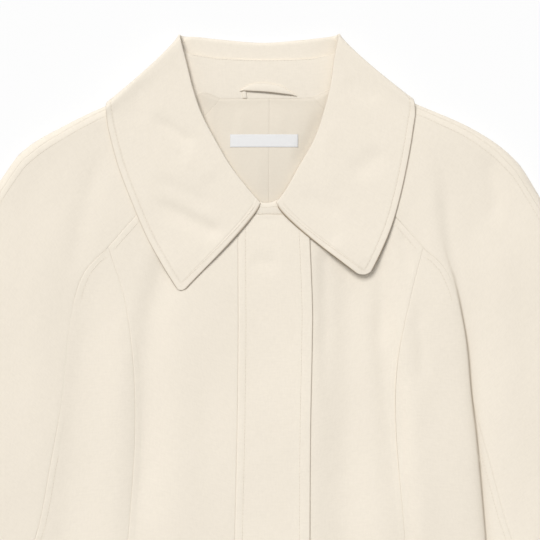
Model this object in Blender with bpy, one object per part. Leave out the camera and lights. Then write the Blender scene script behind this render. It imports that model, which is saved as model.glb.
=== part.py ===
"""Cropped trench jacket, laid flat on its back with the fly front closed.

Plan view: +X is the viewer's right, +Y runs towards the collar, +Z is up off the surface.
The back lies on the surface and the fronts lie over it. The two layers turn into each other round the
rolled outer edges, so every panel takes its height from the same two functions and neighbours meet at
the same points. Left and right are the viewer's. Tables and sizes are in millimetres.
"""
import math

import bmesh
import bpy
import numpy as np

MM = 0.001

# Walls of the cloth
SHELL_WALL = 1.2
LINING_WALL = 1.0
PLACKET_WALL = 1.6
COLLAR_WALL = 2.0
LABEL_WALL = 1.0
LOOP_WALL = 1.2

# Clearances between sewn pieces
SEAM_GAP = 0.3
LAYER_GAP = 0.4
LINING_GAP = 0.7

# How the two layers lie
FRONT_TOP = 15.0
ROLL_WIDTH = 12.0
NECK_CENTRE = (-8.0, 175.0)
NECK_RAISE = 2.5
NECK_RAISE_FROM = 155.0
NECK_RAISE_TO = 215.0

# Rows of mesh along each seam
ROWS_RAGLAN_UPPER = 3
ROWS_RAGLAN_LOWER = 9
ROWS_SIDE = 3
ROWS_INNER_SLEEVE = 6
ROWS_PRINCESS = ROWS_RAGLAN_LOWER + ROWS_SIDE
ROWS_FRONT = ROWS_RAGLAN_UPPER + ROWS_PRINCESS
ROWS_SLEEVE = ROWS_RAGLAN_UPPER + ROWS_RAGLAN_LOWER + ROWS_INNER_SLEEVE
ROLL_STEPS = (0.05, 0.8, 3.2, 7.0, 12.0)

# Outer edge of the shoulder and sleeve, and how far inside it the overarm seam runs
OUTLINE = (
    # station         left x, left y, right x, right y, seam inset
    ("neck point",     -83.0,  163.0,   70.0,  165.0,  2.5),
    ("collar edge",   -139.0,  140.5,  124.0,  142.0,  3.0),
    ("shoulder",      -173.0,  124.5,  173.0,  120.5,  4.5),
    ("shoulder bend", -207.0,  105.0,  207.0,   96.5,  7.0),
    ("upper arm",     -228.0,   80.0,  229.5,   64.0,  6.5),
    ("biceps",        -280.5,   -4.0,  280.5,  -25.0,  7.0),
    ("elbow",         -345.0, -118.0,  345.0, -135.0,  7.0),
    ("forearm",       -408.0, -255.0,  408.0, -266.0,  7.0),
    ("cuff",          -467.5, -425.0,  467.5, -425.0,  7.0),
)

RAGLAN_UPPER = (
    # station         left x, left y, right x, right y
    ("neckline",       -72.0,   91.0,   67.0,   88.5),
    ("collar edge",   -113.0,   47.0,  106.5,   45.5),
    ("princess top",  -137.5,   19.5,  130.0,   19.0),
)

RAGLAN_LOWER = (
    # station         left x, left y, right x, right y
    ("princess top",  -137.5,   19.5,  130.0,   19.0),
    ("turn",          -160.0,   -6.0,  151.5,   -3.5),
    ("upper",         -171.0,  -51.0,  165.0,  -47.0),
    ("middle",        -177.0, -110.5,  172.0, -106.0),
    ("lower",         -187.0, -167.5,  188.0, -167.5),
    ("low",           -200.0, -229.5,  206.0, -229.5),
    ("underarm",      -226.0, -280.0,  232.0, -280.0),
)

BACK_RAGLAN = (
    # station         left x, left y, right x, right y
    ("neckline",       -42.0,  146.0,   37.0,  146.5),
    ("neck corner",    -58.0,  129.0,   54.0,  129.0),
    ("blade",         -110.0,   72.0,  106.0,   72.0),
    ("middle",        -166.0,  -45.0,  164.0,  -45.0),
    ("lower",         -190.0, -170.0,  191.0, -170.0),
    ("underarm",      -226.0, -280.0,  232.0, -280.0),
)

SIDE = (
    # station         left x, left y, right x, right y
    ("underarm",      -226.0, -280.0,  232.0, -280.0),
    ("waist",         -222.0, -325.0,  228.0, -325.0),
    ("hem",           -220.0, -371.0,  226.0, -371.0),
)

INNER_SLEEVE = (
    # station         left x, left y, right x, right y
    ("underarm",      -226.0, -280.0,  232.0, -280.0),
    ("elbow",         -256.0, -332.0,  260.0, -332.0),
    ("cuff",          -350.0, -477.0,  350.0, -477.0),
)

PRINCESS = (
    # station         left x, left y, right x, right y
    ("raglan",        -137.5,   19.5,  130.0,   19.0),
    ("upper bust",    -123.5,  -25.5,  119.0,  -25.5),
    ("bust",          -116.0,  -82.0,  109.0,  -76.5),
    ("under bust",    -115.0, -145.0,  107.5, -135.0),
    ("waist",         -120.5, -229.5,  115.0, -229.5),
    ("hem",           -131.0, -368.0,  126.0, -368.0),
)

# Fly front: the sewn seam, the free edge and the hidden edge of the layer below it
FLY = (
    # station         y,      seam x, free x, under x
    ("neckline",       47.0,  -27.5,   33.0,  -21.0),
    ("chest",         -25.0,  -27.0,   36.0,  -20.5),
    ("bust",          -60.0,  -27.0,   36.0,  -20.5),
    ("waist",        -139.0,  -28.0,   34.5,  -21.5),
    ("low",          -229.5,  -30.0,   34.0,  -23.5),
    ("hem",          -366.0,  -32.0,   33.0,  -25.5),
)
FLY_DROP = 2.5
FLY_DROP_OUT = 48.0

# Largest folds of the front layer: lift beside the path, and how far each side takes to die away
FOLDS = (
    # name                 start x, y,    middle x, y,     end x, y,       left lift, right lift, left, right
    ("right armhole fold",  146.0,  35.0,  166.0,  -60.0,  186.0, -245.0,   2.5,      -2.2,       30.0, 16.0),
    ("left armhole trough", -160.0, 40.0, -170.0,  -60.0, -186.0, -190.0,  -1.6,      -1.6,       16.0, 22.0),
    ("front ridge",          78.0, -40.0,   76.0, -150.0,   74.0, -330.0,   0.9,       0.9,       18.0, 18.0),
)

# Collar leaf, from the throat to the shoulder: roll line, outer edge, height of the two
LEAF_LEFT = (
    # station          roll x, roll y, edge x,  edge y, roll z, edge z
    ("throat",          -8.0,   57.0,  -77.0,  -17.5,  20.8,   17.8),
    ("point side",     -20.0,   71.0,  -91.0,    3.0,  21.0,   17.8),
    ("lower chest",    -34.0,   89.5, -105.0,   28.5,  21.0,   17.8),
    ("chest",          -48.0,  113.5, -118.0,   59.0,  21.0,   17.8),
    ("upper chest",    -58.0,  133.0, -129.0,   88.0,  21.0,   17.8),
    ("neck",           -66.0,  156.0, -136.5,  116.0,  21.0,   17.8),
    ("neck side",      -71.5,  177.0, -138.5,  128.0,  20.4,   17.8),
)
LEAF_RIGHT = (
    # station          roll x, roll y, edge x,  edge y, roll z, edge z
    ("throat",           5.0,   57.5,   78.0,   -5.5,  20.8,   17.8),
    ("point side",      13.0,   68.0,   92.0,   10.0,  21.0,   17.8),
    ("lower chest",     23.5,   86.5,  103.0,   36.0,  21.0,   17.8),
    ("chest",           37.0,  110.5,  111.5,   66.0,  21.0,   17.8),
    ("upper chest",     45.0,  133.0,  118.5,  100.0,  21.0,   17.8),
    ("neck",            51.0,  157.0,  122.0,  122.0,  21.0,   17.8),
    ("neck side",       55.0,  181.0,  123.5,  132.0,  20.4,   17.8),
)
LEAF_BACK = (
    # station          roll x, roll y, edge x,  edge y, depth to stand seam
    ("left side",      -66.0,  197.0, -122.0,  129.0,   9.0),
    ("left",           -42.5,  195.5,  -66.0,  114.0,  14.0),
    ("middle",          -6.0,  193.0,   -6.0,  110.0,  14.5),
    ("right",           27.0,  195.0,   50.0,  114.0,  14.0),
    ("right side",      50.0,  198.5,  107.0,  130.0,   9.0),
)
# Ends of the fold where the leaf turns under the shoulder: at the roll line and at the outer edge
LEAF_FOLD = (
    # side     roll x, roll y, edge x,  edge y
    ("left",   -77.0,  199.5, -141.5,  143.5),
    ("right",   59.5,  200.5,  126.5,  145.0),
)
LEAF_TURN_UNDER = 3.5

# Collar stand, from the tab at the throat round the neck: neckline edge, upper edge, heights of the two
STAND = (
    # station          neck x, neck y, neck z, top x,  top y,  top z, turn degrees
    ("tab end",         17.0,   47.8,  14.8,   17.0,   55.0,  14.8,     0.0),
    ("throat",          -8.0,   47.8,  14.8,   -7.0,   55.8,  14.8,     0.0),
    ("left front",     -26.0,   48.6,  14.8,  -22.0,   67.0,  14.8,     0.0),
    ("left chest",     -49.0,   70.2,  14.8,  -38.0,   88.0,  15.0,     0.0),
    ("left raglan",    -70.6,   92.0,  14.8,  -53.0,  114.0,  15.0,     0.0),
    ("left neck",      -75.5,  128.0,  14.6,  -67.0,  150.0,  14.6,    10.0),
    ("left side",      -78.0,  150.0,  13.2,  -72.0,  178.0,  13.2,    35.0),
    ("left fold",      -79.0,  157.0,   9.5,  -72.5,  183.0,   9.5,    90.0),
    ("left turn",      -75.0,  158.4,   6.6,  -69.0,  182.5,   6.8,   150.0),
    ("left back",      -60.0,  154.2,   6.4,  -57.0,  180.0,   7.0,   180.0),
    ("left nape",      -41.0,  147.4,   6.4,  -43.0,  179.6,   7.0,   180.0),
    ("nape",            -4.0,  147.0,   6.4,   -4.0,  177.6,   7.0,   180.0),
    ("right nape",      36.0,  147.6,   6.4,   32.0,  179.2,   7.0,   180.0),
    ("right back",      50.0,  155.4,   6.4,   46.0,  181.0,   7.0,   180.0),
    ("right turn",      62.5,  160.4,   6.6,   52.0,  183.5,   6.8,  -150.0),
    ("right fold",      66.0,  159.0,   9.5,   55.5,  184.0,   9.5,   -90.0),
    ("right side",      65.0,  151.0,  13.2,   55.5,  178.0,  13.2,   -35.0),
    ("right neck",      66.5,  128.0,  14.6,   52.0,  150.0,  14.6,   -10.0),
    ("right raglan",    65.6,   89.6,  14.8,   42.0,  113.0,  15.0,     0.0),
    ("right chest",     44.0,   77.8,  14.8,   29.0,   91.0,  15.0,     0.0),
    ("right front",     18.6,   66.0,  14.8,   19.0,   75.0,  14.8,     0.0),
)

# Neck label on the back lining
LABEL_LEFT = -34.0
LABEL_RIGHT = 24.0
LABEL_TOP = 115.5
LABEL_BOTTOM = 104.5

# Hanger loop: lower edge, upper edge and height above the stand along its length
LOOP = (
    # station        low x,  low y, high x, high y, height
    ("left end",     -19.5,  148.0, -25.5,  148.6,  0.5),
    ("left bend",    -19.0,  151.5, -25.0,  153.5,  1.6),
    ("left arch",    -16.0,  151.8, -18.5,  158.0,  4.0),
    ("crown",         -2.0,  151.2,  -2.0,  159.4,  5.6),
    ("right arch",    12.0,  149.6,  14.0,  156.0,  4.0),
    ("right end",     19.5,  148.2,  23.0,  151.0,  0.5),
)

# Colour, roughness and metallic of each cloth
CLOTHS = {
    "shell": ((0.86, 0.79, 0.68, 1.0), 0.85, 0.0),
    "lining": ((0.78, 0.71, 0.60, 1.0), 0.60, 0.0),
    "tape": ((0.86, 0.85, 0.84, 1.0), 0.70, 0.0),
}

SIDES = {"left": 0, "right": 1}


def clear_scene():
    """Remove every object that a new file starts with."""
    for obj in list(bpy.data.objects):
        bpy.data.objects.remove(obj, do_unlink=True)


def column(table, side):
    """Plan points of one side of a seam table."""
    first = 1 + 2 * SIDES[side]
    return np.array([row[first:first + 2] for row in table])


def smooth(points, count):
    """Curve through the points (Catmull-Rom), cut into `count` equal lengths."""
    points = np.asarray(points, float)
    ends = np.vstack([2 * points[0] - points[1], points, 2 * points[-1] - points[-2]])
    steps = np.linspace(0.0, 1.0, 24, endpoint=False)[:, None]
    fine = []
    for p0, p1, p2, p3 in zip(ends, ends[1:], ends[2:], ends[3:]):
        fine.append(0.5 * (2 * p1 + (p2 - p0) * steps + (2 * p0 - 5 * p1 + 4 * p2 - p3) * steps ** 2
                           + (3 * p1 - p0 - 3 * p2 + p3) * steps ** 3))
    fine = np.vstack(fine + [points[-1:]])
    along = np.concatenate([[0.0], np.cumsum(np.linalg.norm(np.diff(fine, axis=0), axis=1))])
    wanted = np.linspace(0.0, along[-1], count + 1)
    return np.stack([np.interp(wanted, along, fine[:, axis]) for axis in range(fine.shape[1])], axis=1)


def nearest(points, line):
    """Distance from each point to a polyline, and the direction away from it."""
    start, run = line[:-1], np.diff(line, axis=0)
    reach = points[:, None, :] - start[None]
    share = np.clip((reach * run).sum(2) / (run * run).sum(1), 0.0, 1.0)
    away = reach - share[..., None] * run
    distance = np.linalg.norm(away, axis=2)
    best = distance.argmin(axis=1)
    index = np.arange(len(points))
    distance = np.maximum(distance[index, best], 1e-6)
    return distance, away[index, best] / distance[:, None]


def rolled_edges():
    """Outer edges where the front layer turns into the back layer."""
    lines = []
    for side in SIDES:
        lines.append(smooth(column(OUTLINE, side), 240))
        lines.append(smooth(column(SIDE, side), 60))
        lines.append(smooth(column(INNER_SLEEVE, side), 60))
    return lines


EDGES = rolled_edges()


def soft_step(value):
    """Smooth step from 0 to 1."""
    value = np.clip(value, 0.0, 1.0)
    return value * value * (3.0 - 2.0 * value)


def fold_lift(points):
    """Height that the folds add to the front layer."""
    lift = np.zeros(len(points))
    for _, x0, y0, x1, y1, x2, y2, left_lift, right_lift, left_width, right_width in FOLDS:
        path = smooth(((x0, y0), (x1, y1), (x2, y2)), 24)
        across = points[:, 0] - np.interp(-points[:, 1], -path[:, 1], path[:, 0])
        along = (y0 - points[:, 1]) / (y0 - y2)
        fade = soft_step(along / 0.25) * soft_step((1.0 - along) / 0.25)
        side_lift = np.where(across < 0.0, left_lift, right_lift)
        width = np.where(across < 0.0, left_width, right_width)
        middle = 0.5 * (left_lift + right_lift)
        blend = soft_step(np.abs(across) / 4.0)
        lift += fade * (middle + (side_lift - middle) * blend) * np.exp(-(across / width) ** 2)
    return lift


def lie(points, front):
    """Outer surface of the front or back layer over plan points: positions and outward normals."""
    points = np.asarray(points, float)
    front = np.broadcast_to(front, len(points))
    found = [nearest(points, line) for line in EDGES]
    distances = np.stack([item[0] for item in found])
    best = distances.argmin(axis=0)
    distance = distances[best, np.arange(len(points))]
    inward = np.stack([item[1] for item in found])[best, np.arange(len(points))]

    from_neck = np.linalg.norm(points - np.array(NECK_CENTRE), axis=1)
    under = NECK_RAISE * soft_step((NECK_RAISE_TO - from_neck) / (NECK_RAISE_TO - NECK_RAISE_FROM))
    middle = 0.5 * (FRONT_TOP + under)
    half = 0.5 * (FRONT_TOP - under)
    cosine = np.clip(1.0 - distance / ROLL_WIDTH, 0.0, 1.0)
    sine = np.sqrt(1.0 - cosine ** 2)

    sign = np.where(front, 1.0, -1.0)
    flat = soft_step(distance / (2.5 * ROLL_WIDTH))
    height = middle + sign * half * sine + np.where(front, fold_lift(points) * flat, 0.0)
    normals = np.column_stack([-inward * (cosine / ROLL_WIDTH)[:, None], sign * sine / half])
    normals /= np.linalg.norm(normals, axis=1)[:, None]
    return np.column_stack([points, height]), normals


def plan_centre():
    """Middle of the jacket's outline, which becomes the origin."""
    xs = [row[i] for row in OUTLINE for i in (1, 3)]
    low = min(row[i] for row in INNER_SLEEVE for i in (2, 4))
    high = max(row[2] for row in LEAF_FOLD)
    return np.array([0.5 * (min(xs) + max(xs)), 0.5 * (low + high), 0.0])


CENTRE = plan_centre()


def make_material(name, cloth):
    """Principled material for one piece."""
    colour, roughness, metallic = CLOTHS[cloth]
    material = bpy.data.materials.new(name)
    material.use_nodes = True
    shader = material.node_tree.nodes["Principled BSDF"]
    shader.inputs["Base Color"].default_value = colour
    shader.inputs["Roughness"].default_value = roughness
    shader.inputs["Metallic"].default_value = metallic
    material.diffuse_color = colour
    return material


def make_wall(name, outer, inner, cloth):
    """Closed wall between two matching grids of points, from a grid that is pulled out to a thickness."""
    rows, columns = outer.shape[0] - 1, outer.shape[1] - 1
    bm = bmesh.new()
    bmesh.ops.create_grid(bm, x_segments=columns, y_segments=rows, size=0.5)
    pulled = bmesh.ops.extrude_face_region(bm, geom=bm.verts[:] + bm.edges[:] + bm.faces[:], use_keep_orig=True)
    top = {item for item in pulled["geom"] if isinstance(item, bmesh.types.BMVert)}
    for vert in bm.verts:
        i = round((vert.co.x + 0.5) * columns)
        j = round((vert.co.y + 0.5) * rows)
        vert.co = ((outer if vert in top else inner)[j, i] - CENTRE) * MM
    bmesh.ops.recalc_face_normals(bm, faces=bm.faces[:])
    if bm.calc_volume(signed=True) < 0.0:
        bmesh.ops.reverse_faces(bm, faces=bm.faces[:])
    mesh = bpy.data.meshes.new(name)
    bm.to_mesh(mesh)
    bm.free()
    obj = bpy.data.objects.new(name, mesh)
    bpy.context.scene.collection.objects.link(obj)
    mesh.materials.append(make_material(name, cloth))
    return obj


def make_panel(name, plan, front, wall, cloth="shell", depth=0.0, drop=None):
    """Panel that follows a layer over a grid of plan points, `depth` below the layer's outer surface."""
    shape = plan.shape[:2]
    flags = np.broadcast_to(front, shape).ravel()
    outer, normals = lie(plan.reshape(-1, 2), flags)
    if drop is not None:
        outer[:, 2] -= drop(outer[:, 0])
    top = (outer - normals * depth).reshape(*shape, 3)
    low = (outer - normals * (depth + wall)).reshape(*shape, 3)
    return make_wall(name, top, low, cloth)


def ruled(first, last, steps_first=(), steps_last=(), columns=5):
    """Grid of plan points between two edges, with extra columns near an edge that rolls over."""
    rows = []
    for a, b in zip(first, last):
        width = np.linalg.norm(b - a)
        gap = 0.5 * SEAM_GAP
        scale = min(1.0, 0.4 * width / ROLL_WIDTH)
        head = [scale * step for step in steps_first] or [gap]
        tail = [width - scale * step for step in reversed(steps_last)] or [width - gap]
        inner = list(np.linspace(head[-1], tail[0], columns + 1))[1:-1]
        rows.append([a + (b - a) * (along / width) for along in head + inner + tail])
    return np.array(rows)


def trim_rows(plan):
    """Pull the two end rows of a grid in by half a seam gap."""
    for end, inner in ((0, 1), (-1, -2)):
        run = plan[inner] - plan[end]
        plan[end] += run / np.linalg.norm(run, axis=1)[:, None] * 0.5 * SEAM_GAP
    return plan


def outer_line(side):
    """Outer edge and overarm seam of one sleeve, row by row."""
    edge = smooth(column(OUTLINE, side), ROWS_SLEEVE)
    stations = column(OUTLINE, side)
    along = np.concatenate([[0.0], np.cumsum(np.linalg.norm(np.diff(stations, axis=0), axis=1))])
    inset = np.interp(np.linspace(0.0, along[-1], ROWS_SLEEVE + 1), along, [row[5] for row in OUTLINE])
    run = np.gradient(edge, axis=0)
    run /= np.linalg.norm(run, axis=1)[:, None]
    turn = 1.0 if side == "left" else -1.0
    inward = np.column_stack([-run[:, 1], run[:, 0]]) * turn
    return edge, edge + inward * inset[:, None]


def seam_lines(side):
    """Every seam of one side, cut into rows that neighbours share."""
    upper = smooth(column(RAGLAN_UPPER, side), ROWS_RAGLAN_UPPER)
    lower = smooth(column(RAGLAN_LOWER, side), ROWS_RAGLAN_LOWER)
    back = smooth(column(BACK_RAGLAN, side), ROWS_RAGLAN_UPPER + ROWS_RAGLAN_LOWER)
    body_side = smooth(column(SIDE, side), ROWS_SIDE)
    inner = smooth(column(INNER_SLEEVE, side), ROWS_INNER_SLEEVE)
    princess = smooth(column(PRINCESS, side), ROWS_PRINCESS)
    edge, overarm = outer_line(side)
    return {
        "centre": np.vstack([upper, princess[1:]]),
        "armhole": np.vstack([lower, body_side[1:]]),
        "princess": princess,
        "sleeve": np.vstack([upper, lower[1:], inner[1:]]),
        "back": np.vstack([back, body_side[1:]]),
        "back sleeve": np.vstack([back, inner[1:]]),
        "edge": edge,
        "overarm": overarm,
    }


def fly_line(index, heights):
    """Plan points of one edge of the fly at the given heights."""
    y = [row[1] for row in FLY]
    x = [row[index] for row in FLY]
    return np.column_stack([np.interp(-heights, [-value for value in y], x), heights])


def fly_drop(x):
    """How far the right front sinks to pass under the fly."""
    free = FLY[1][3]
    return FLY_DROP * (1.0 - soft_step((x - free) / FLY_DROP_OUT))


def build_fronts(lines):
    """Centre fronts, side fronts and the fly."""
    heights = np.linspace(FLY[0][1], FLY[-1][1], ROWS_FRONT + 1)
    seam = fly_line(2, heights)
    under = fly_line(4, heights)
    free = fly_line(3, heights)
    make_panel("front_left", trim_rows(ruled(lines["left"]["centre"], seam, columns=5)), True, SHELL_WALL)
    make_panel("front_right", trim_rows(ruled(lines["right"]["centre"], under, columns=7)), True, SHELL_WALL,
               drop=fly_drop)
    make_panel("placket", trim_rows(ruled(seam, free, columns=4)), True, PLACKET_WALL)
    for side in SIDES:
        armhole, princess = lines[side]["armhole"].copy(), lines[side]["princess"].copy()
        armhole[0] += 0.08 * (armhole[1] - armhole[0])
        princess[0] += 0.08 * (princess[1] - princess[0])
        make_panel(f"side_front_{side}", ruled(armhole, princess, steps_first=ROLL_STEPS, columns=5), True,
                   SHELL_WALL)


def build_sleeves(lines):
    """Raglan sleeves: the front piece, and the back piece that comes over the outer fold."""
    for side in SIDES:
        seam = lines[side]
        make_panel(f"sleeve_front_{side}",
                   trim_rows(ruled(seam["overarm"], seam["sleeve"], steps_last=ROLL_STEPS, columns=5)),
                   True, SHELL_WALL)
        over = ruled(seam["overarm"], seam["edge"], columns=3)
        below = ruled(seam["edge"], seam["back sleeve"], steps_first=ROLL_STEPS[1:], steps_last=ROLL_STEPS,
                      columns=4)
        plan = trim_rows(np.concatenate([over, below], axis=1))
        front = np.zeros(plan.shape[:2], bool)
        front[:, :over.shape[1]] = True
        make_panel(f"sleeve_back_{side}", plan, front, SHELL_WALL)


def build_back(lines):
    """Back panel, its lining, the sleeve lining that shows beside it and the label."""
    left, right = lines["left"]["back"], lines["right"]["back"]
    make_panel("back", trim_rows(ruled(left, right, steps_first=ROLL_STEPS, steps_last=ROLL_STEPS, columns=6)),
               False, SHELL_WALL)

    depth = SHELL_WALL + LINING_GAP
    rows = ROWS_RAGLAN_UPPER + ROWS_RAGLAN_LOWER
    centre_x = np.linspace(-0.5, -4.0, rows)
    for side in SIDES:
        raglan = lines[side]["back"][:rows]
        middle = np.column_stack([centre_x, np.linspace(145.8, raglan[-1][1], rows)])
        edges = (raglan, middle) if side == "left" else (middle, raglan)
        make_panel(f"lining_back_{side}", trim_rows(ruled(*edges, columns=4)), False, LINING_WALL, "lining", depth)

        corner = raglan[:4]
        shoulder = smooth((lines[side]["overarm"][0], lines[side]["overarm"][2]), 3)
        outer = corner + 0.62 * (shoulder - corner)
        edges = (outer, corner) if side == "left" else (corner, outer)
        make_panel(f"lining_sleeve_{side}", trim_rows(ruled(*edges, columns=3)), False, LINING_WALL, "lining", depth)

    xs = np.linspace(LABEL_LEFT, LABEL_RIGHT, 5)
    ys = np.linspace(LABEL_TOP, LABEL_BOTTOM, 3)
    label = np.array([[(x, y) for x in xs] for y in ys])
    make_panel("label", label, False, LABEL_WALL, "tape", depth + LINING_WALL + LAYER_GAP)


def unit(vector):
    """Vector of length one."""
    return vector / np.linalg.norm(vector)


def leaf_section(roll, edge, roll_z, edge_z, turn, tuck):
    """One cut across the collar leaf: outer and inner points from the tucked edge over the roll to the outer edge.

    `turn` is 0 where the leaf lies on the fronts and 180 where it lies under the back.
    """
    roll, edge = np.array(roll, float), np.array(edge, float)
    run = unit(edge - roll)
    side = np.array([-run[1], run[0]])
    angle = math.radians(turn)
    normal = np.array([side[0] * math.sin(angle), side[1] * math.sin(angle), math.cos(angle)])
    along = np.array([run[0], run[1], 0.0])
    bend = COLLAR_WALL + 0.9
    start = np.array([roll[0], roll[1], roll_z]) + along * bend - normal * bend
    finish = np.array([edge[0], edge[1], edge_z])
    outer = [start + along * (tuck - bend) - normal * bend]
    inner = [start + along * (tuck - bend) - normal * (bend - COLLAR_WALL)]
    for degrees in (-90.0, -45.0, 0.0, 45.0, 90.0):
        theta = math.radians(degrees)
        spoke = -along * math.cos(theta) + normal * math.sin(theta)
        outer.append(start + spoke * bend)
        inner.append(start + spoke * (bend - COLLAR_WALL))
    for share in (0.35, 0.7, 1.0):
        point = outer[5] + (finish - outer[5]) * share
        outer.append(point)
        inner.append(point - normal * COLLAR_WALL)
    return outer, inner


def fold_sections(side):
    """Cuts of the leaf round its fold at one shoulder, from the front layer to the back layer."""
    _, rx, ry, ex, ey = LEAF_FOLD[SIDES[side]]
    run = unit(np.array([ex - rx, ey - ry]))
    sign = -1.0 if side == "left" else 1.0
    outward = np.array([-run[1], run[0]]) * sign
    radius = 8.9
    cuts = []
    for turn in (35.0, 90.0, 145.0):
        theta = math.radians(turn)
        shift = outward * radius * (math.sin(theta) - 1.0)
        z = radius * (1.0 + math.cos(theta))
        cuts.append(leaf_section(np.array([rx, ry]) + shift, np.array([ex, ey]) + shift, z, z, turn * sign,
                                 LEAF_TURN_UNDER))
    return cuts


def build_leaf():
    """Collar leaf: lies on the fronts, turns round both shoulders and runs under the back of the neck."""
    cuts = []
    for _, rx, ry, ex, ey, rz, ez in LEAF_LEFT:
        cuts.append(leaf_section((rx, ry), (ex, ey), rz, ez, 0.0, LEAF_TURN_UNDER))
    cuts += fold_sections("left")
    for _, rx, ry, ex, ey, tuck in LEAF_BACK:
        cuts.append(leaf_section((rx, ry), (ex, ey), 0.0, 0.0, 180.0, tuck))
    cuts += list(reversed(fold_sections("right")))
    for _, rx, ry, ex, ey, rz, ez in reversed(LEAF_RIGHT):
        cuts.append(leaf_section((rx, ry), (ex, ey), rz, ez, 0.0, LEAF_TURN_UNDER))
    outer = np.array([cut[0] for cut in cuts])
    inner = np.array([cut[1] for cut in cuts])
    make_wall("collar_leaf", outer, inner, "shell")


def build_stand():
    """Collar stand: a band round the neck, under the leaf at the front and in sight at the nape."""
    outer, inner = [], []
    for _, nx, ny, nz, tx, ty, tz, turn in STAND:
        neck, top = np.array([nx, ny, nz]), np.array([tx, ty, tz])
        run = unit((top - neck)[:2])
        angle = math.radians(turn)
        side = np.array([-run[1], run[0]])
        normal = np.array([side[0] * math.sin(angle), side[1] * math.sin(angle), math.cos(angle)])
        line = [neck + (top - neck) * share for share in (0.0, 0.5, 1.0)]
        outer.append(line)
        inner.append([point - normal * COLLAR_WALL for point in line])
    make_wall("collar_stand", np.array(outer), np.array(inner), "shell")


def build_loop():
    """Hanger loop: a short strip that arches over the stand at the nape."""
    base = max(row[6] for row in STAND[9:14]) + COLLAR_WALL + LAYER_GAP
    outer, inner = [], []
    for _, lx, ly, hx, hy, height in LOOP:
        low = np.array([lx, ly, base + height])
        high = np.array([hx, hy, base + height])
        outer.append([low + np.array([0.0, 0.0, LOOP_WALL]), high + np.array([0.0, 0.0, LOOP_WALL])])
        inner.append([low, high])
    make_wall("hanger_loop", np.array(outer), np.array(inner), "shell")


def main():
    """Build every piece of the jacket."""
    clear_scene()
    lines = {side: seam_lines(side) for side in SIDES}
    build_back(lines)
    build_sleeves(lines)
    build_fronts(lines)
    build_stand()
    build_leaf()
    build_loop()


main()
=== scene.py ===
"""Looks of a cropped cream trench jacket that lies flat on its back with the fly front closed.

The plan is in millimetres: +X is the viewer's right and +Y runs towards the collar. Each panel is a fine
sheet between two seam lines that takes its height from one lie of the cloth, so that neighbours meet at
their seams, and a Solidify modifier gives it its wall. Left and right are the viewer's.
"""

from __future__ import annotations

import functools
import logging
import math
from dataclasses import dataclass, field
from enum import Enum
from typing import Callable, NamedTuple, Optional, Sequence

import bmesh
import bpy
import numpy as np
from bpy.types import Material, Mesh, Node, NodeSocket, NodeTree, Object
from mathutils import Matrix, Vector

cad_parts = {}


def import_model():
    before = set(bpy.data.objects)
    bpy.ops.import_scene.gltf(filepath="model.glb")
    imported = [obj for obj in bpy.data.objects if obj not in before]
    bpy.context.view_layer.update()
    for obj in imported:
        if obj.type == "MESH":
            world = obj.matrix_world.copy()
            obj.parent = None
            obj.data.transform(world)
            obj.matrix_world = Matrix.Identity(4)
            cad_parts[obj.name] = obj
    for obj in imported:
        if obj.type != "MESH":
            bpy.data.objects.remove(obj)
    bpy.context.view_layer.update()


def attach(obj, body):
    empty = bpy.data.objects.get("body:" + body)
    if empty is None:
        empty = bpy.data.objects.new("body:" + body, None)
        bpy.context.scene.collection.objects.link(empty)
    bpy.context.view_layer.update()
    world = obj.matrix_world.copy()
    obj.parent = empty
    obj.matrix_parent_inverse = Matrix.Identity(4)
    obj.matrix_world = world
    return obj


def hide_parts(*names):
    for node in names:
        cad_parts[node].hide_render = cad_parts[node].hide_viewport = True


LOG = logging.getLogger("trench_jacket")
BODY = "root"
FLOOR = "studio_floor"
CLOTH_MAP = "cloth"
# Point attribute of painted shade: how far the cloth's colour is darkened where shade falls along edges,
# crease lines and stitches.
PAINTED_SHADE_MARK = "crease"

# Metres in a millimetre, and the plan point that becomes the part's origin.
MM = 0.001
PART_CENTRE = (0.0, -138.25, 0.0)

# Smallest width of a stated cut, and the least share of its rectangle that a cut fills.
NARROWEST_CUT = 10.2
LEAST_FILL = 0.301

# Fine rows of points for each row of a CAD panel, and the pieces that traced lines are cut into.
ROW_DETAIL = 11
CURVE_STEPS = 24
FOLD_STEPS = 40
CREASE_STEPS = 60
FLY_STEPS = 400

# Length from one stitch to the next, and the small steps that find the cloth's slope beside it.
STITCH_PITCH = 3.1
STEP_ACROSS = 0.01
STEP_ALONG = 0.02

# Distances across a seam and across a sharp fold at which the sheet has a column of points.
SEAM_STEPS = (0.0, 0.25, 0.55, 0.95, 1.5, 2.4)
FINE_STEPS = (-3.6, -2.5, -1.7, -1.1, -0.7, -0.35, 0.0, 0.35, 0.7, 1.1, 1.7, 2.5, 3.6)

# How steeply the cloth comes up beside a dip, and the length under which a vector counts as none.
DIP_POWER = 1.5
TINY = 1e-12

Array = np.ndarray
Lift = Callable[[Array], Array]
Colour = tuple[float, float, float]


class Side(Enum):
    """Side of the jacket as the viewer sees it."""

    LEFT = "left"
    RIGHT = "right"


class Layer(Enum):
    """Layer of cloth: the fronts lie over the back."""

    FRONT = 1.0
    BACK = -1.0


class Slot(Enum):
    """Material slots of the record."""

    SHELL = "shell"
    LINING = "lining"
    TAPE = "tape"


class Sewn(Enum):
    """How the edge of a panel is sewn."""

    PLAIN = "plain seam"
    FELLED = "seam with its turnings stitched down on this side"
    FLY_SEAM = "seam of the fly with a wide stitched welt"
    FLY_EDGE = "free edge of the fly"
    LINED = "seam of the lining, seen from its inside"
    ROLLED = "edge that runs round to the other layer"
    CUT = "edge under another piece"


def soft_step(value: Array) -> Array:
    """Smooth step from 0 to 1."""
    value = np.clip(value, 0.0, 1.0)
    return value * value * (3.0 - 2.0 * value)


def bell(distance: Array, width: float, power: float = 2.0) -> Array:
    """Bell that is 1 at no distance and dies away over a width."""
    return np.exp(-((distance / width) ** power))


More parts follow.
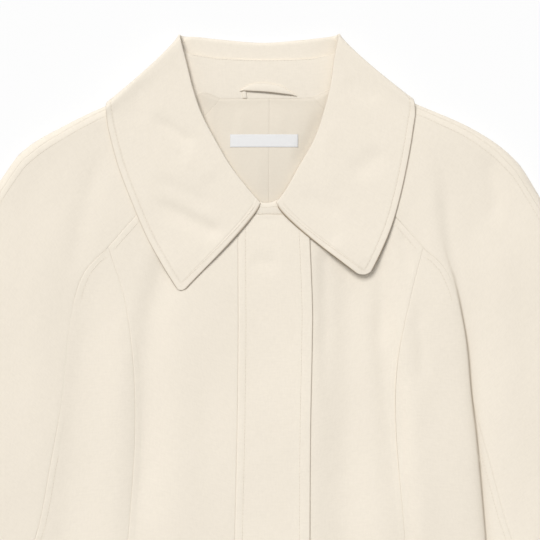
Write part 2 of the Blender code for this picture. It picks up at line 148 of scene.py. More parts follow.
def fade_ends(share: Array, fade: tuple[float, float]) -> Array:
    """Grows at the start of a line and dies at its end, over two shares of its length."""
    return soft_step(share / fade[0]) * soft_step((1.0 - share) / fade[1])


def unit(vectors: Array) -> Array:
    """Vectors, row by row, brought to length 1."""
    return vectors / np.maximum(np.linalg.norm(vectors, axis=1), TINY)[:, None]


def read_at(table: Array, marks: Array, wanted: Array) -> Array:
    """Every column of a table, read between the rising marks of its rows."""
    return np.stack([np.interp(wanted, marks, column) for column in table.T], axis=1)


def read_rows(table: Array, rows: Array) -> Array:
    """Every column of a table, read at fractional row numbers."""
    return read_at(table, np.arange(len(table)), rows)


def lengths(line: Array) -> Array:
    """Length along a line up to each of its points."""
    return np.concatenate([[0.0], np.cumsum(np.linalg.norm(np.diff(line, axis=0), axis=1))])


def smooth(points: Sequence[Sequence[float]], count: int) -> Array:
    """Curve through points, cut into equal lengths.

    Args:
        points: Points that the curve passes through.
        count: Number of lengths.

    Returns:
        An array of count + 1 points.
    """
    knots = np.asarray(points, float)
    ends = np.vstack([2 * knots[0] - knots[1], knots, 2 * knots[-1] - knots[-2]])
    steps = np.linspace(0.0, 1.0, CURVE_STEPS, endpoint=False)[:, None]
    fine = [
        0.5 * (2 * p1 + (p2 - p0) * steps + (2 * p0 - 5 * p1 + 4 * p2 - p3) * steps**2
               + (3 * p1 - p0 - 3 * p2 + p3) * steps**3)
        for p0, p1, p2, p3 in zip(ends, ends[1:], ends[2:], ends[3:])
    ]
    line = np.vstack(fine + [knots[-1:]])
    along = lengths(line)
    return read_at(line, along, np.linspace(0.0, along[-1], count + 1))


def nearest(points: Array, line: Array, batch: int = 3000) -> tuple[Array, Array, Array]:
    """Nearest place on a line for each point.

    Args:
        points: Plan points.
        line: Points of the line.
        batch: Points worked out at a time.

    Returns:
        Distance to the line, the same distance as minus on the viewer's left of a line that runs down, and
        share of the line's length at that place.
    """
    run = np.diff(line, axis=0)
    along = lengths(line)
    found = []
    for block in np.array_split(points, max(1, len(points) // batch)):
        reach = block[:, None, :] - line[None, :-1]
        share = np.clip((reach * run).sum(2) / (run * run).sum(1), 0.0, 1.0)
        away = reach - share[..., None] * run
        distance = np.linalg.norm(away, axis=2)
        best = distance.argmin(axis=1)
        index = np.arange(len(block))
        gap = distance[index, best]
        off, way = away[index, best], run[best]
        turn = way[:, 0] * off[:, 1] - way[:, 1] * off[:, 0]
        place = along[best] + share[index, best] * (along[best + 1] - along[best])
        found.append(np.stack([gap, np.where(turn < 0.0, -gap, gap), place / along[-1]]))
    gap, across, share = np.concatenate(found, axis=1)
    return gap, across, share


@dataclass(frozen=True)
class EdgeForm:
    """Height of the cloth beside one kind of edge, in millimetres.

    Attributes:
        steps: Distances from the edge at which the sheet has a column of points.
        dip: How far the cloth sinks at the edge itself.
        dip_width: Distance over which it comes up again.
        welt: How far turnings raise the cloth beside the edge.
        stitch: Distance of the stitch row from the edge, or 0 for none.
        groove: How far the stitches pull the cloth down.
        groove_width: Half the width of that groove.
        welt_slope: Distance over which the welt comes down past the stitches.
    """

    steps: tuple[float, ...]
    dip: float = 0.0
    dip_width: float = 1.0
    welt: float = 0.0
    stitch: float = 0.0
    groove: float = 0.0
    groove_width: float = 0.6
    welt_slope: float = 3.0

    def lift(self, distance: Array) -> Array:
        """Height that the sewing adds.

        Args:
            distance: Distances from the edge.

        Returns:
            The height to add at each distance.
        """
        distance = np.maximum(distance, 0.0)
        total = -self.dip * bell(distance, self.dip_width, DIP_POWER)
        if self.stitch:
            past = distance - self.stitch
            total = total + self.welt * (1.0 - soft_step((past + self.groove_width) / self.welt_slope))
            total = total - self.groove * bell(past, self.groove_width)
        return total


EDGE_FORMS: dict[Sewn, EdgeForm] = {
    Sewn.PLAIN: EdgeForm((*SEAM_STEPS, 4.0, 6.5), dip=0.24, dip_width=0.7),
    Sewn.FELLED: EdgeForm(
        (*SEAM_STEPS, 3.6, 4.5, 5.0, 5.4, 5.8, 6.4, 7.4, 9.0),
        dip=0.24, dip_width=0.6, welt=0.1, stitch=5.4, groove=0.09,
    ),
    Sewn.FLY_SEAM: EdgeForm(
        (*SEAM_STEPS[:-1], 2.6, 4.2, 5.6, 6.1, 6.5, 6.9, 7.6, 9.0, 11.0),
        dip=0.6, dip_width=0.6, welt=0.22, stitch=6.5, groove=0.15,
    ),
    Sewn.FLY_EDGE: EdgeForm(
        (0.0, 0.2, 0.45, 0.8, 1.4, 2.6, 4.4, 6.2, 7.8, 8.6, 9.0, 9.4, 10.2, 12.0),
        dip=0.3, dip_width=0.35, welt=0.2, stitch=9.0, groove=0.14,
    ),
    Sewn.LINED: EdgeForm((*SEAM_STEPS, 4.0, 6.5), dip=0.12, dip_width=0.6),
    Sewn.ROLLED: EdgeForm((0.04, 0.15, 0.45, 1.0, 1.8, 3.0, 4.5, 6.5, 9.0, 12.0)),
    Sewn.CUT: EdgeForm((0.0, 2.0)),
}


class PairRow(NamedTuple):
    """One station of a seam on both sides of the jacket."""

    station: str
    left_x: float
    left_y: float
    right_x: float
    right_y: float

    def point(self, side: Side) -> tuple[float, float]:
        """Plan point of one side."""
        return (self.left_x, self.left_y) if side is Side.LEFT else (self.right_x, self.right_y)


class FlyRow(NamedTuple):
    """One level of the fly: its sewn seam, its free edge and the hidden edge of the layer below."""

    station: str
    y: float
    seam_x: float
    free_x: float
    under_x: float


@dataclass(frozen=True)
class SeamLine:
    """A seam on both sides of the jacket."""

    rows: int
    stations: tuple[PairRow, ...]

    def line(self, side: Side, count: int) -> Array:
        """The seam of one side, cut into a number of lengths."""
        return smooth([row.point(side) for row in self.stations], count)

    def cut(self, side: Side) -> Array:
        """The seam of one side, cut into the fine rows of the panels."""
        return self.line(side, self.rows * ROW_DETAIL)


def join(side: Side, *seams: SeamLine) -> Array:
    """Several seams of one side, end to end."""
    lines = [seam.cut(side) for seam in seams]
    return np.vstack([lines[0], *(line[1:] for line in lines[1:])])


PRINCESS_TOP = PairRow("princess top", -137.5, 19.5, 130, 19)
UNDERARM = PairRow("underarm", -226, -280, 232, -280)


@dataclass(frozen=True)
class SeamPlan:
    """Seam lines of the jacket in plan."""

    outline: SeamLine = SeamLine(18, (
        PairRow("neck point", -83, 163, 70, 165),
        PairRow("collar edge", -139, 140.5, 124, 142),
        PairRow("shoulder", -173, 124.5, 173, 120.5),
        PairRow("shoulder bend", -207, 105, 207, 96.5),
        PairRow("upper arm", -228, 80, 229.5, 64),
        PairRow("biceps", -280.5, -4, 280.5, -25),
        PairRow("elbow", -345, -118, 345, -135),
        PairRow("forearm", -408, -255, 408, -266),
        PairRow("cuff", -467.5, -425, 467.5, -425),
    ))
    overarm_inset: tuple[float, ...] = (2.5, 3.0, 4.5, 7.0, 6.5, 7.0, 7.0, 7.0, 7.0)
    raglan_upper: SeamLine = SeamLine(3, (
        PairRow("neckline", -72, 91, 67, 88.5),
        PairRow("collar edge", -113, 47, 106.5, 45.5),
        PRINCESS_TOP,
    ))
    raglan_lower: SeamLine = SeamLine(9, (
        PRINCESS_TOP,
        PairRow("turn", -160, -6, 151.5, -3.5),
        PairRow("upper", -171, -51, 165, -47),
        PairRow("middle", -177, -110.5, 172, -106),
        PairRow("lower", -187, -167.5, 188, -167.5),
        PairRow("low", -200, -229.5, 206, -229.5),
        UNDERARM,
    ))
    back_raglan: SeamLine = SeamLine(12, (
        PairRow("neckline", -42, 146, 37, 146.5),
        PairRow("neck corner", -58, 129, 54, 129),
        PairRow("blade", -110, 72, 106, 72),
        PairRow("middle", -166, -45, 164, -45),
        PairRow("lower", -190, -170, 191, -170),
        UNDERARM,
    ))
    body_side: SeamLine = SeamLine(3, (
        UNDERARM,
        PairRow("waist", -222, -325, 228, -325),
        PairRow("hem", -220, -371, 226, -371),
    ))
    inner_sleeve: SeamLine = SeamLine(6, (
        UNDERARM,
        PairRow("elbow", -256, -332, 260, -332),
        PairRow("cuff", -350, -477, 350, -477),
    ))
    princess: SeamLine = SeamLine(12, (
        PRINCESS_TOP,
        PairRow("upper bust", -123.5, -25.5, 119, -25.5),
        PairRow("bust", -116, -82, 109, -76.5),
        PairRow("under bust", -115, -145, 107.5, -135),
        PairRow("waist", -120.5, -229.5, 115, -229.5),
        PairRow("hem", -131, -368, 126, -368),
    ))
    fly: tuple[FlyRow, ...] = (
        FlyRow("neckline", 47, -27.5, 33, -21),
        FlyRow("chest", -25, -27, 36, -20.5),
        FlyRow("bust", -60, -27, 36, -20.5),
        FlyRow("waist", -139, -28, 34.5, -21.5),
        FlyRow("low", -229.5, -30, 34, -23.5),
        FlyRow("hem", -366, -32, 33, -25.5),
    )
    fly_rows: int = 15

    def sleeve_outline(self, side: Side) -> tuple[Array, Array]:
        """Outer edge of a sleeve and the overarm seam inside it.

        Args:
            side: Side of the jacket.

        Returns:
            Points of the edge and points of the seam.
        """
        edge = self.outline.cut(side)
        stations = lengths(np.array([row.point(side) for row in self.outline.stations]))
        inset = np.interp(np.linspace(0.0, stations[-1], len(edge)), stations, self.overarm_inset)
        run = unit(np.gradient(edge, axis=0))
        inward = np.column_stack([-run[:, 1], run[:, 0]]) * (1.0 if side is Side.LEFT else -1.0)
        return edge, edge + inward * inset[:, None]

    def fly_line(self, column: str) -> Array:
        """One edge of the fly from the neckline to the hem.

        Args:
            column: Column of the fly's table that holds the edge.

        Returns:
            Points at even heights.
        """
        line = smooth([(getattr(row, column), row.y) for row in self.fly], FLY_STEPS)
        heights = np.linspace(self.fly[0].y, self.fly[-1].y, self.fly_rows * ROW_DETAIL + 1)
        return np.column_stack([np.interp(-heights, -line[:, 1], line[:, 0]), heights])


@dataclass(frozen=True)
class Fold:
    """A soft fold or crease along a path.

    Attributes:
        rise: How far it rises above the cloth, or sinks if it is minus.
        spread: Distance over which it dies away on the left and on the right.
        right_rise: Its rise on the right of the path, where that differs.
        crest: Distance over which the left rise turns into the right one.
        fade: Shares of the length over which the fold grows and dies.
        sharp: 2 for a rounded fold, 1 for one with an ironed bottom.
    """

    name: str
    path: tuple[tuple[float, float], ...]
    rise: float
    spread: tuple[float, float]
    right_rise: Optional[float] = None
    crest: float = 4.0
    fade: tuple[float, float] = (0.3, 0.3)
    sharp: float = 2.0

    def lift(self, points: Array) -> Array:
        """Height that the fold adds.

        Args:
            points: Plan points.

        Returns:
            The height to add at each point.
        """
        gap, across, share = nearest(points, smooth(self.path, FOLD_STEPS))
        right = self.rise if self.right_rise is None else self.right_rise
        middle, half = 0.5 * (self.rise + right), 0.5 * (right - self.rise)
        height = middle + half * np.tanh(across / self.crest)
        spread = np.where(across < 0.0, *self.spread)
        return fade_ends(share, self.fade) * height * bell(gap, spread, self.sharp)


RIGHT_ARMHOLE_FOLD = (
    (146.5, 32), (150, 13), (157.5, -11), (164, -40), (168.7, -68), (172, -105), (176, -139),
    (180, -181), (184.2, -229.5), (189, -297), (193, -350),
)

FRONT_FOLDS: tuple[Fold, ...] = (
    Fold("hollow under the left leaf", ((-102, 152), (-92, 110), (-80, 75), (-66, 42), (-64, 16)), -1.7,
         (24, 24), fade=(0.2, 0.25)),
    Fold("hollow under the right leaf", ((88, 152), (82, 115), (74, 85), (64, 52), (66, 24)), -1.4,
         (24, 24), fade=(0.2, 0.25)),
    Fold("right armhole fold, soft start", ((139, 110), (143, 70), (148, 25), (158, -15), (166, -55)), 1.9,
         (20, 13), right_rise=-1.9, crest=6.0, fade=(0.45, 0.5)),
    Fold("right armhole fold, lip", RIGHT_ARMHOLE_FOLD, 1.4, (22, 14), right_rise=-0.9, crest=0.9,
         fade=(0.3, 0.12)),
    Fold("right armhole fold, crease", RIGHT_ARMHOLE_FOLD, -4.4, (13, 11), fade=(0.38, 0.12), sharp=1.0),
    Fold("left armhole trough", ((-140, 70), (-147, 17), (-153, -25), (-155, -60), (-162, -110),
         (-167, -161), (-171, -212), (-182, -262), (-196, -318)), -2.8, (17, 26), fade=(0.52, 0.22)),
    Fold("left raglan hollow", ((-142, 112), (-150, 78), (-160, 40), (-168, -14)), -1.2, (9, 11)),
    Fold("right raglan hollow", ((188, 112), (189.5, 76), (194, 34)), -1.1, (8, 8)),
    Fold("trough beside the left princess seam", ((-82, 34), (-88, 10), (-98, -25), (-104, -60),
         (-105.5, -110), (-107, -161), (-112, -212), (-118, -300)), -2.7, (11, 15), fade=(0.12, 0.4)),
    Fold("ridge outside the left princess seam", ((-132, -10), (-128, -60), (-129, -130), (-136, -230)),
         0.8, (16, 11)),
    Fold("ridge of the left front", ((-72, -20), (-74, -90), (-76, -160), (-80, -240), (-84, -330)), 0.8,
         (14, 18)),
    Fold("faint trough of the left front", ((-56, -30), (-55, -80), (-54, -150), (-52, -240)), -0.5,
         (13, 15)),
    Fold("ridge of the right front", ((76, -10), (79, -60), (82, -110), (86, -190), (90, -300)), 1.0,
         (20, 11)),
    Fold("trough beside the right princess seam", ((97, 10), (99, -25), (101, -60), (108, -105),
         (110.5, -140), (111, -170), (117, -215), (125, -320)), -3.2, (13, 8), fade=(0.2, 0.2)),
    Fold("hollow beside the top of the fly", ((45, 20), (46, -20), (46, -60), (47, -120)), -1.2, (5, 6),
         fade=(0.1, 0.5)),
    Fold("pull below the right point", ((94, 12), (95, -20), (95, -50), (94, -78)), -1.0, (5, 4.5),
         fade=(0.15, 0.5)),
    Fold("short pull outside the right point", ((111, 34), (115.5, 14), (118, -10)), -0.9, (4.5, 4),
         fade=(0.2, 0.5)),
    Fold("crease inside the right princess seam", ((90, -17), (93, -60), (97, -110), (102, -161)), -0.6,
         (5, 5)),
    Fold("hollow outside the right princess seam", ((124, -20), (128, -60), (131, -105)), -0.7, (6, 6)),
    Fold("ridge outside the right princess seam", ((121, -70), (119, -120), (121, -180), (128, -260)), 1.4,
         (10, 22)),
    Fold("right sleeve hollow", ((168, 60), (171, 20), (178, -25), (184, -70)), -0.8, (12, 14)),
    Fold("right sleeve ridge", ((192, 50), (197, -10), (203, -70), (209, -140)), 0.9, (18, 20)),
    Fold("left sleeve ridge", ((-186, 60), (-192, 0), (-199, -70), (-209, -150)), 0.7, (20, 15)),
    Fold("left elbow fold", ((-262, -60), (-292, -118), (-318, -190), (-344, -262)), -2.1, (17, 14)),
    Fold("left elbow cross fold", ((-355, -152), (-325, -176), (-292, -214), (-268, -252)), 2.0, (10, 14)),
    Fold("left forearm fold", ((-375, -268), (-384, -318), (-396, -366), (-408, -408)), -1.7, (14, 12)),
    Fold("right elbow fold", ((268, -66), (296, -128), (320, -196), (340, -262)), -2.1, (15, 16)),
    Fold("right elbow cross fold", ((358, -176), (328, -192), (298, -226), (272, -262)), 2.0, (13, 10)),
    Fold("right forearm fold", ((372, -286), (380, -330), (392, -372), (404, -410)), -1.7, (12, 14)),
    Fold("left underarm pull", ((-214, -262), (-196, -288), (-172, -318)), -1.7, (9, 12)),
    Fold("right underarm pull", ((220, -262), (204, -290), (180, -322)), -1.7, (12, 9)),
)

LEAF_FOLDS: tuple[Fold, ...] = (
    Fold("left leaf upper wrinkle", ((-102, 131), (-92, 125), (-78, 116), (-62, 106)), -1.2, (5, 5),
         fade=(0.35, 0.25)),
    Fold("left leaf shoulder dent", ((-112, 164), (-111, 146), (-114, 122)), -0.5, (8, 10)),
    Fold("left leaf ridge", ((-74, 101), (-62, 90), (-48, 74)), 0.7, (12, 10)),
    Fold("left leaf middle wrinkle", ((-106, 80), (-92, 74), (-68, 63), (-40, 50)), -0.7, (8, 7)),
    Fold("left leaf lower wrinkle", ((-104, 62), (-86, 53), (-62, 40), (-38, 28)), -2.1, (9, 6),
         fade=(0.4, 0.2)),
    Fold("left leaf low ridge", ((-60, 22), (-72, 10), (-88, -6)), 0.5, (16, 14)),
    Fold("right leaf upper dent", ((60, 162), (76, 152), (94, 143)), -0.7, (8, 8)),
    Fold("right leaf wrinkle", ((66, 80), (84, 91), (100, 103)), -0.9, (9, 9)),
    Fold("right leaf ridge", ((52, 134), (49, 108), (50, 88), (58, 64)), 0.5, (11, 14)),
    Fold("right leaf low wrinkle", ((24, 66), (44, 56), (66, 47)), -0.7, (9, 8)),
    Fold("right leaf low ridge", ((50, 28), (66, 12), (84, -4)), 1.1, (18, 16)),
)

LINING_FOLDS: tuple[Fold, ...] = (
    Fold("lining fold by the left edge", ((-51, 140), (-49, 120), (-44, 100), (-36, 84)), 1.3, (5, 7),
         right_rise=-0.7),
    Fold("lining fold on the left", ((-30, 138), (-28, 124), (-27, 112)), -0.4, (6, 8), right_rise=0.6),
    Fold("lining fold on the right", ((26, 140), (25, 120), (20, 98), (14, 76)), 0.3, (7, 6),
         right_rise=-0.2),
    Fold("lining trough by the right edge", ((46, 142), (39, 120), (31, 102), (22, 84)), -1.8, (6, 8)),
    Fold("lining ease left of the seam", ((-9, 102), (-9, 84), (-8, 62)), 0.3, (5, 5)),
    Fold("lining ease right of the seam", ((10, 140), (9, 124), (8, 112)), 0.4, (6, 6)),
    Fold("lining sag", ((-80, 20), (-30, -10), (30, -10), (80, 20)), 1.5, (20, 20)),
)

BACK_FOLDS: tuple[Fold, ...] = (
    Fold("left blade fold", ((-96, 84), (-118, 20), (-128, -60), (-126, -150)), 1.5, (13, 17)),
    Fold("right blade fold", ((92, 78), (112, 24), (120, -48), (122, -130)), 1.6, (16, 12)),
    Fold("middle back fold", ((-14, 40), (-8, -40), (4, -130)), 1.0, (20, 16)),
    Fold("left waist fold", ((-170, -190), (-112, -236), (-50, -262)), 1.6, (12, 16)),
    Fold("right waist fold", ((176, -204), (118, -250), (64, -290)), 1.5, (15, 12)),
    Fold("left back sleeve fold", ((-236, 20), (-276, -80), (-322, -180)), 1.6, (15, 13)),
    Fold("right back sleeve fold", ((240, 10), (284, -96), (318, -190)), 1.5, (13, 16)),
    Fold("left back forearm fold", ((-350, -230), (-362, -300), (-384, -372)), 1.4, (12, 15)),
    Fold("right back forearm fold", ((352, -244), (366, -318), (386, -388)), 1.5, (14, 12)),
)

FLY_FOLDS: tuple[Fold, ...] = (
    Fold("dent below the throat", ((-16, 12), (-4, 6), (10, 8)), -0.8, (7, 7)),
    Fold("crease at the throat", ((-13, 43.6), (-2, 42.6), (10, 43.2)), -0.5, (2.4, 2.2)),
)


def folded(folds: Sequence[Fold], points: Array) -> Array:
    """Height that several folds add at plan points."""
    return sum(fold.lift(points) for fold in folds)


@dataclass(frozen=True)
class PaintedShadeLine:
    """Painted shade along an edge or a crease: a thin darker line in the colour, where shade falls."""

    line: Array
    depth: float
    width: float = 0.5
    fade: tuple[float, float] = (0.02, 0.02)

    def shade(self, grid: Array) -> Array:
        """How dark the painted shade of the line makes each point of a grid."""
        gap, _, share = nearest(grid[..., :2].reshape(-1, 2), self.line)
        return (self.depth * fade_ends(share, self.fade) * bell(gap, self.width)).reshape(grid.shape[:2])


class SlowWave(NamedTuple):
    """A slow wave over the cloth: its height, its run along x and y in millimetres, and its start."""

    height: float
    run_x: float
    run_y: float
    start: float


class Pucker(NamedTuple):
    """A quick wave along one way that bends along the other: its runs in millimetres, bend and start."""

    run: float
    bend: float
    bend_run: float
    start: float

    def height(self, along: Array, across: Array) -> Array:
        """Height of the wave at places along and across it."""
        return np.sin(along / self.run + self.bend * np.sin(across / self.bend_run) + self.start)


SLOW_WAVES = (SlowWave(1, 19, 61, 0), SlowWave(1, 31, -23, 1.7), SlowWave(0.8, 12.5, 37, 0.6))
PUCKER_ACROSS = Pucker(5.3, 1.3, 17.0, 0.0)
PUCKER_DOWN = Pucker(8.1, 1.1, 13.0, 0.4)


@dataclass
class Lie:
    """How the two layers of cloth lie: their heights over the plan."""

    plan: SeamPlan
    front_top: float = 15.0
    roll_width: float = 12.0
    settle: float = 2.2
    neck_centre: tuple[float, float] = (-8.0, 175.0)
    neck_raise: float = 2.5
    neck_raise_from: float = 155.0
    neck_raise_to: float = 215.0
    ease: float = 0.36
    ripple: float = 0.09
    edge_steps: tuple[int, int, int] = (150, 24, 40)
    edges: list[Array] = field(init=False)

    def __post_init__(self) -> None:
        """Collects the outer edges of both sides."""
        seams = (self.plan.outline, self.plan.body_side, self.plan.inner_sleeve)
        self.edges = [seam.line(side, count) for side in Side for seam, count in zip(seams, self.edge_steps)]

    def waves(self, points: Array) -> Array:
        """Slight unevenness of cloth that has been worn and smoothed by hand.

        Args:
            points: Plan points.

        Returns:
            The height to add at each point.
        """
        x, y = points.T
        slow = sum(wave.height * np.sin(x / wave.run_x + y / wave.run_y + wave.start) for wave in SLOW_WAVES)
        return self.ease * slow + self.ripple * PUCKER_ACROSS.height(x, y) * PUCKER_DOWN.height(y, x)

    def heights(self, points: Array, layer: Layer) -> Array:
        """Height of a layer's outside.

        Args:
            points: Plan points.
            layer: The layer.

        Returns:
            Heights above the surface the jacket lies on.
        """
        distance = np.min([nearest(points, line)[0] for line in self.edges], axis=0)
        from_neck = np.linalg.norm(points - np.array(self.neck_centre), axis=1)
        reach = (self.neck_raise_to - from_neck) / (self.neck_raise_to - self.neck_raise_from)
        under = self.neck_raise * soft_step(reach)
        middle, half = 0.5 * (self.front_top + under), 0.5 * (self.front_top - under)
        cosine = np.clip(1.0 - distance / self.roll_width, 0.0, 1.0)
        if layer is Layer.FRONT:
            folds = folded(FRONT_FOLDS, points) + self.waves(points)
        else:
            folds = folded(BACK_FOLDS, points)
        flat = soft_step(distance / (self.settle * self.roll_width))
        return middle + layer.value * half * np.sqrt(1.0 - cosine**2) + folds * flat


class CalmStretch(NamedTuple):
    """Stretch of one raglan seam that soft folds swallow: its ends, and how far it fades at each of them."""

    way: float
    top: float
    top_fade: float
    bottom: float
    bottom_fade: float


CALM_STRETCHES = (CalmStretch(-1.0, -14.0, 24.0, -136.0, 24.0), CalmStretch(1.0, 2.0, 16.0, -128.0, 24.0))
CALM_FROM = 138.0
CALM_FADE = 12.0
CALM_SHARE = 0.8


def raglan_calm(points: Array) -> Array:
    """Share of the raglan seam's relief that shows where soft folds swallow it.

    Args:
        points: Plan points.

    Returns:
        The share that is left at each point.
    """
    x, y = points.T
    swallowed = sum(
        (x * calm.way > 0.0) * soft_step((calm.top - y) / calm.top_fade)
        * soft_step((y - calm.bottom) / calm.bottom_fade)
        for calm in CALM_STRETCHES
    )
    return 1.0 - CALM_SHARE * soft_step((np.abs(x) - CALM_FROM) / CALM_FADE) * swallowed


def armhole_crease_and_shade(side: Side) -> tuple[Optional[Array], tuple[PaintedShadeLine, ...]]:
    """Path of the sharp fold at the armhole, which only the right side has, and the painted shade along it.

    Args:
        side: Side of the jacket.

    Returns:
        The path, if there is one, and its lines of painted shade: a thin dark one in a broad soft one.
    """
    if side is Side.LEFT:
        return None, ()
    line = smooth(RIGHT_ARMHOLE_FOLD, CREASE_STEPS)
    thin = PaintedShadeLine(line, depth=0.55, width=0.85, fade=(0.2, 0.6))
    broad = PaintedShadeLine(line, depth=0.16, width=4.5, fade=(0.5, 0.1))
    return line, (thin, broad)


@dataclass(frozen=True)
class StitchRow:
    """A row of stitches: places along it and the cloth's normal at each."""

    points: Array
    normals: Array


def stitch_line(surface: Callable[[Array, Array], Array], rows: Array, across: Array,
                up: float = 1.0) -> StitchRow:
    """Even places for stitches along a line on a sheet.

    Args:
        surface: Gives points of the sheet for rows and distances across it.
        rows: Rows that the line passes through.
        across: Distance across the sheet at each of the rows.
        up: 1 if the stitched side faces up, -1 if it faces down.

    Returns:
        The stitch row, with a needle hole at every even place and the middle of a stitch at every odd place.
    """
    line = surface(rows, across)
    if np.ptp(rows) > 0.0:
        beside = surface(rows, across + np.where(across < 0.0, -STEP_ACROSS, STEP_ACROSS))
    else:
        middle = 0.5 * (rows.min() + rows.max())
        beside = surface(rows + np.where(rows < middle, STEP_ALONG, -STEP_ALONG), across)
    normal = unit(np.cross(beside - line, np.gradient(line, axis=0)))
    normal = np.where(normal[:, 2:] * up < 0.0, -normal, normal)
    along = lengths(line)
    wanted = np.arange(0.5 * STITCH_PITCH, along[-1], 0.5 * STITCH_PITCH)
    return StitchRow(read_at(line, along, wanted), read_at(normal, along, wanted))


# Share of a narrow panel that the columns at one edge may take, and the widths those columns need.
EDGE_SHARE = 0.4
EDGE_REACH = 12.0
BOTH_EDGES = 20.0
LEAST_WIDTH = 1e-6

# Rows drawn together at a dipped top edge, and how far the dip reaches.
TOP_ROWS = (0.0, 0.12, 0.3, 0.55)
TOP_DIP_WIDTH = 1.4

# Search for the fold line across a row: places tried, share of the row it may take, margin and smoothing.
FOLD_SEARCH = 161
FOLD_SHARE = 0.35
FOLD_MARGIN = 1.3
FOLD_WINDOW = 5

# Places read to lay out stitches along a seam and a hem, and how far a hem's stitches stop from a seam.
SEAM_PLACES = 600
HEM_PLACES = 400
HEM_STOP = 1.0


@dataclass
class Panel:
    """A sheet of cloth between two seam lines that lies on one layer."""

    name: str
    first: Array
    last: Array
    lie: Lie
    layer: Layer
    first_sewn: Sewn
    last_sewn: Sewn
    pitch: float = 3.4
    depth: float = 0.0
    extra: Optional[Lift] = None
    top_dip: float = 0.0
    calm: Optional[Lift] = None
    fold_line: Optional[Array] = None
    painted_shade: tuple[PaintedShadeLine, ...] = ()

    @property
    def faces_up(self) -> bool:
        """True if the side that shows faces up: a front, or a lining inside the back."""
        return self.layer is Layer.FRONT or self.depth > 0.0

    def surface(self, rows: Array, across: Array) -> Array:
        """Points of the sheet.

        Args:
            rows: Fractional rows.
            across: Distance from the first edge at each row; a negative one counts from the last edge.

        Returns:
            Points in millimetres.
        """
        head, tail = read_rows(self.first, rows), read_rows(self.last, rows)
        width = np.maximum(np.linalg.norm(tail - head, axis=1), LEAST_WIDTH)
        across = np.where(across < 0.0, width + across, across)
        points = head + (tail - head) * (across / width)[:, None]
        scale = np.minimum(1.0, EDGE_SHARE * width / EDGE_REACH)
        sewn = EDGE_FORMS[self.first_sewn].lift(across / scale)
        sewn = sewn + EDGE_FORMS[self.last_sewn].lift((width - across) / scale)
        if self.calm is not None:
            sewn = sewn * self.calm(points)
        height = self.lie.heights(points, self.layer) - self.layer.value * self.depth
        height = height + (sewn if self.faces_up else -sewn)
        if self.extra is not None:
            height = height + self.extra(points)
        if self.top_dip:
            top = nearest(points, np.vstack([self.first[:1], self.last[:1]]))[0]
            height = height - self.top_dip * bell(top, TOP_DIP_WIDTH, DIP_POWER)
        return np.column_stack([points, height])

    def grid(self) -> Array:
        """Grid of points over the whole sheet.

        Returns:
            Points in millimetres.
        """
        rows = np.arange(len(self.first), dtype=float)
        if self.top_dip:
            rows = np.concatenate([TOP_ROWS, rows[1:]])
        head, tail = read_rows(self.first, rows), read_rows(self.last, rows)
        width = np.linalg.norm(tail - head, axis=1)
        scale = np.minimum(1.0, EDGE_SHARE * width / EDGE_REACH)[:, None]
        begin = np.array(EDGE_FORMS[self.first_sewn].steps) * scale
        end = width[:, None] - np.array(EDGE_FORMS[self.last_sewn].steps)[::-1] * scale
        count = max(2, int(round((width.max() - BOTH_EDGES) / self.pitch)))
        if self.fold_line is None:
            middle = begin[:, -1:] + (end[:, :1] - begin[:, -1:]) * np.linspace(0.0, 1.0, count + 1)[1:-1]
        else:
            middle = self.columns_by_fold(head, tail, begin[:, -1:], end[:, :1], count)
        across = np.concatenate([begin, middle, end], axis=1)
        spots = self.surface(np.repeat(rows, across.shape[1]), across.ravel())
        return spots.reshape(*across.shape, 3)

    def columns_by_fold(self, head: Array, tail: Array, begin: Array, end: Array, count: int) -> Array:
        """Columns between the two edges that draw together along the fold line.

        Args:
            head: First edge at each row.
            tail: Last edge at each row.
            begin: Distance from the first edge where the columns start.
            end: Distance from the first edge where they end.
            count: Number of columns beside the fold.

        Returns:
            Distance of each column from the first edge, row by row.
        """
        share = np.linspace(0.0, 1.0, FOLD_SEARCH)
        spots = head[:, None] + (tail - head)[:, None] * share[None, :, None]
        gap = nearest(spots.reshape(-1, 2), self.fold_line)[0].reshape(len(head), -1)
        width = np.linalg.norm(tail - head, axis=1)
        place = (share[np.argmin(gap, axis=1)] * width)[:, None]
        near = np.array(FINE_STEPS) * np.minimum(1.0, FOLD_SHARE * (end - begin) / FINE_STEPS[-1])
        place = np.clip(place, begin - FOLD_MARGIN * near[:, :1], end - FOLD_MARGIN * near[:, -1:])
        half = FOLD_WINDOW // 2
        place[half:-half, 0] = np.convolve(place[:, 0], np.ones(FOLD_WINDOW) / FOLD_WINDOW, "valid")
        left = max(2, int(count * float(np.sum(place - begin) / np.sum(end - begin))))
        start, stop = place + near[:, :1], place + near[:, -1:]
        before = begin + (start - begin) * np.linspace(0.0, 1.0, left + 1)[1:-1]
        after = stop + (end - stop) * np.linspace(0.0, 1.0, count - left + 2)[1:-1]
        return np.concatenate([before, place + near, after], axis=1)

    def painted_shade_grid(self, grid: Array) -> Optional[Array]:
        """How dark the lines of painted shade make a grid of points, if the panel has any."""
        return sum(line.shade(grid) for line in self.painted_shade) if self.painted_shade else None

    def stitches(self, across: float, start: float, stop: float) -> StitchRow:
        """Stitch row at a distance from an edge.

        Args:
            across: Distance from the first edge, or minus the distance from the last edge.
            start: Share of the rows where it starts.
            stop: Share of the rows where it ends.

        Returns:
            The stitch row.
        """
        rows = np.linspace(start, stop, SEAM_PLACES) * (len(self.first) - 1)
        return stitch_line(self.surface, rows, np.full(SEAM_PLACES, across), self.layer.value)

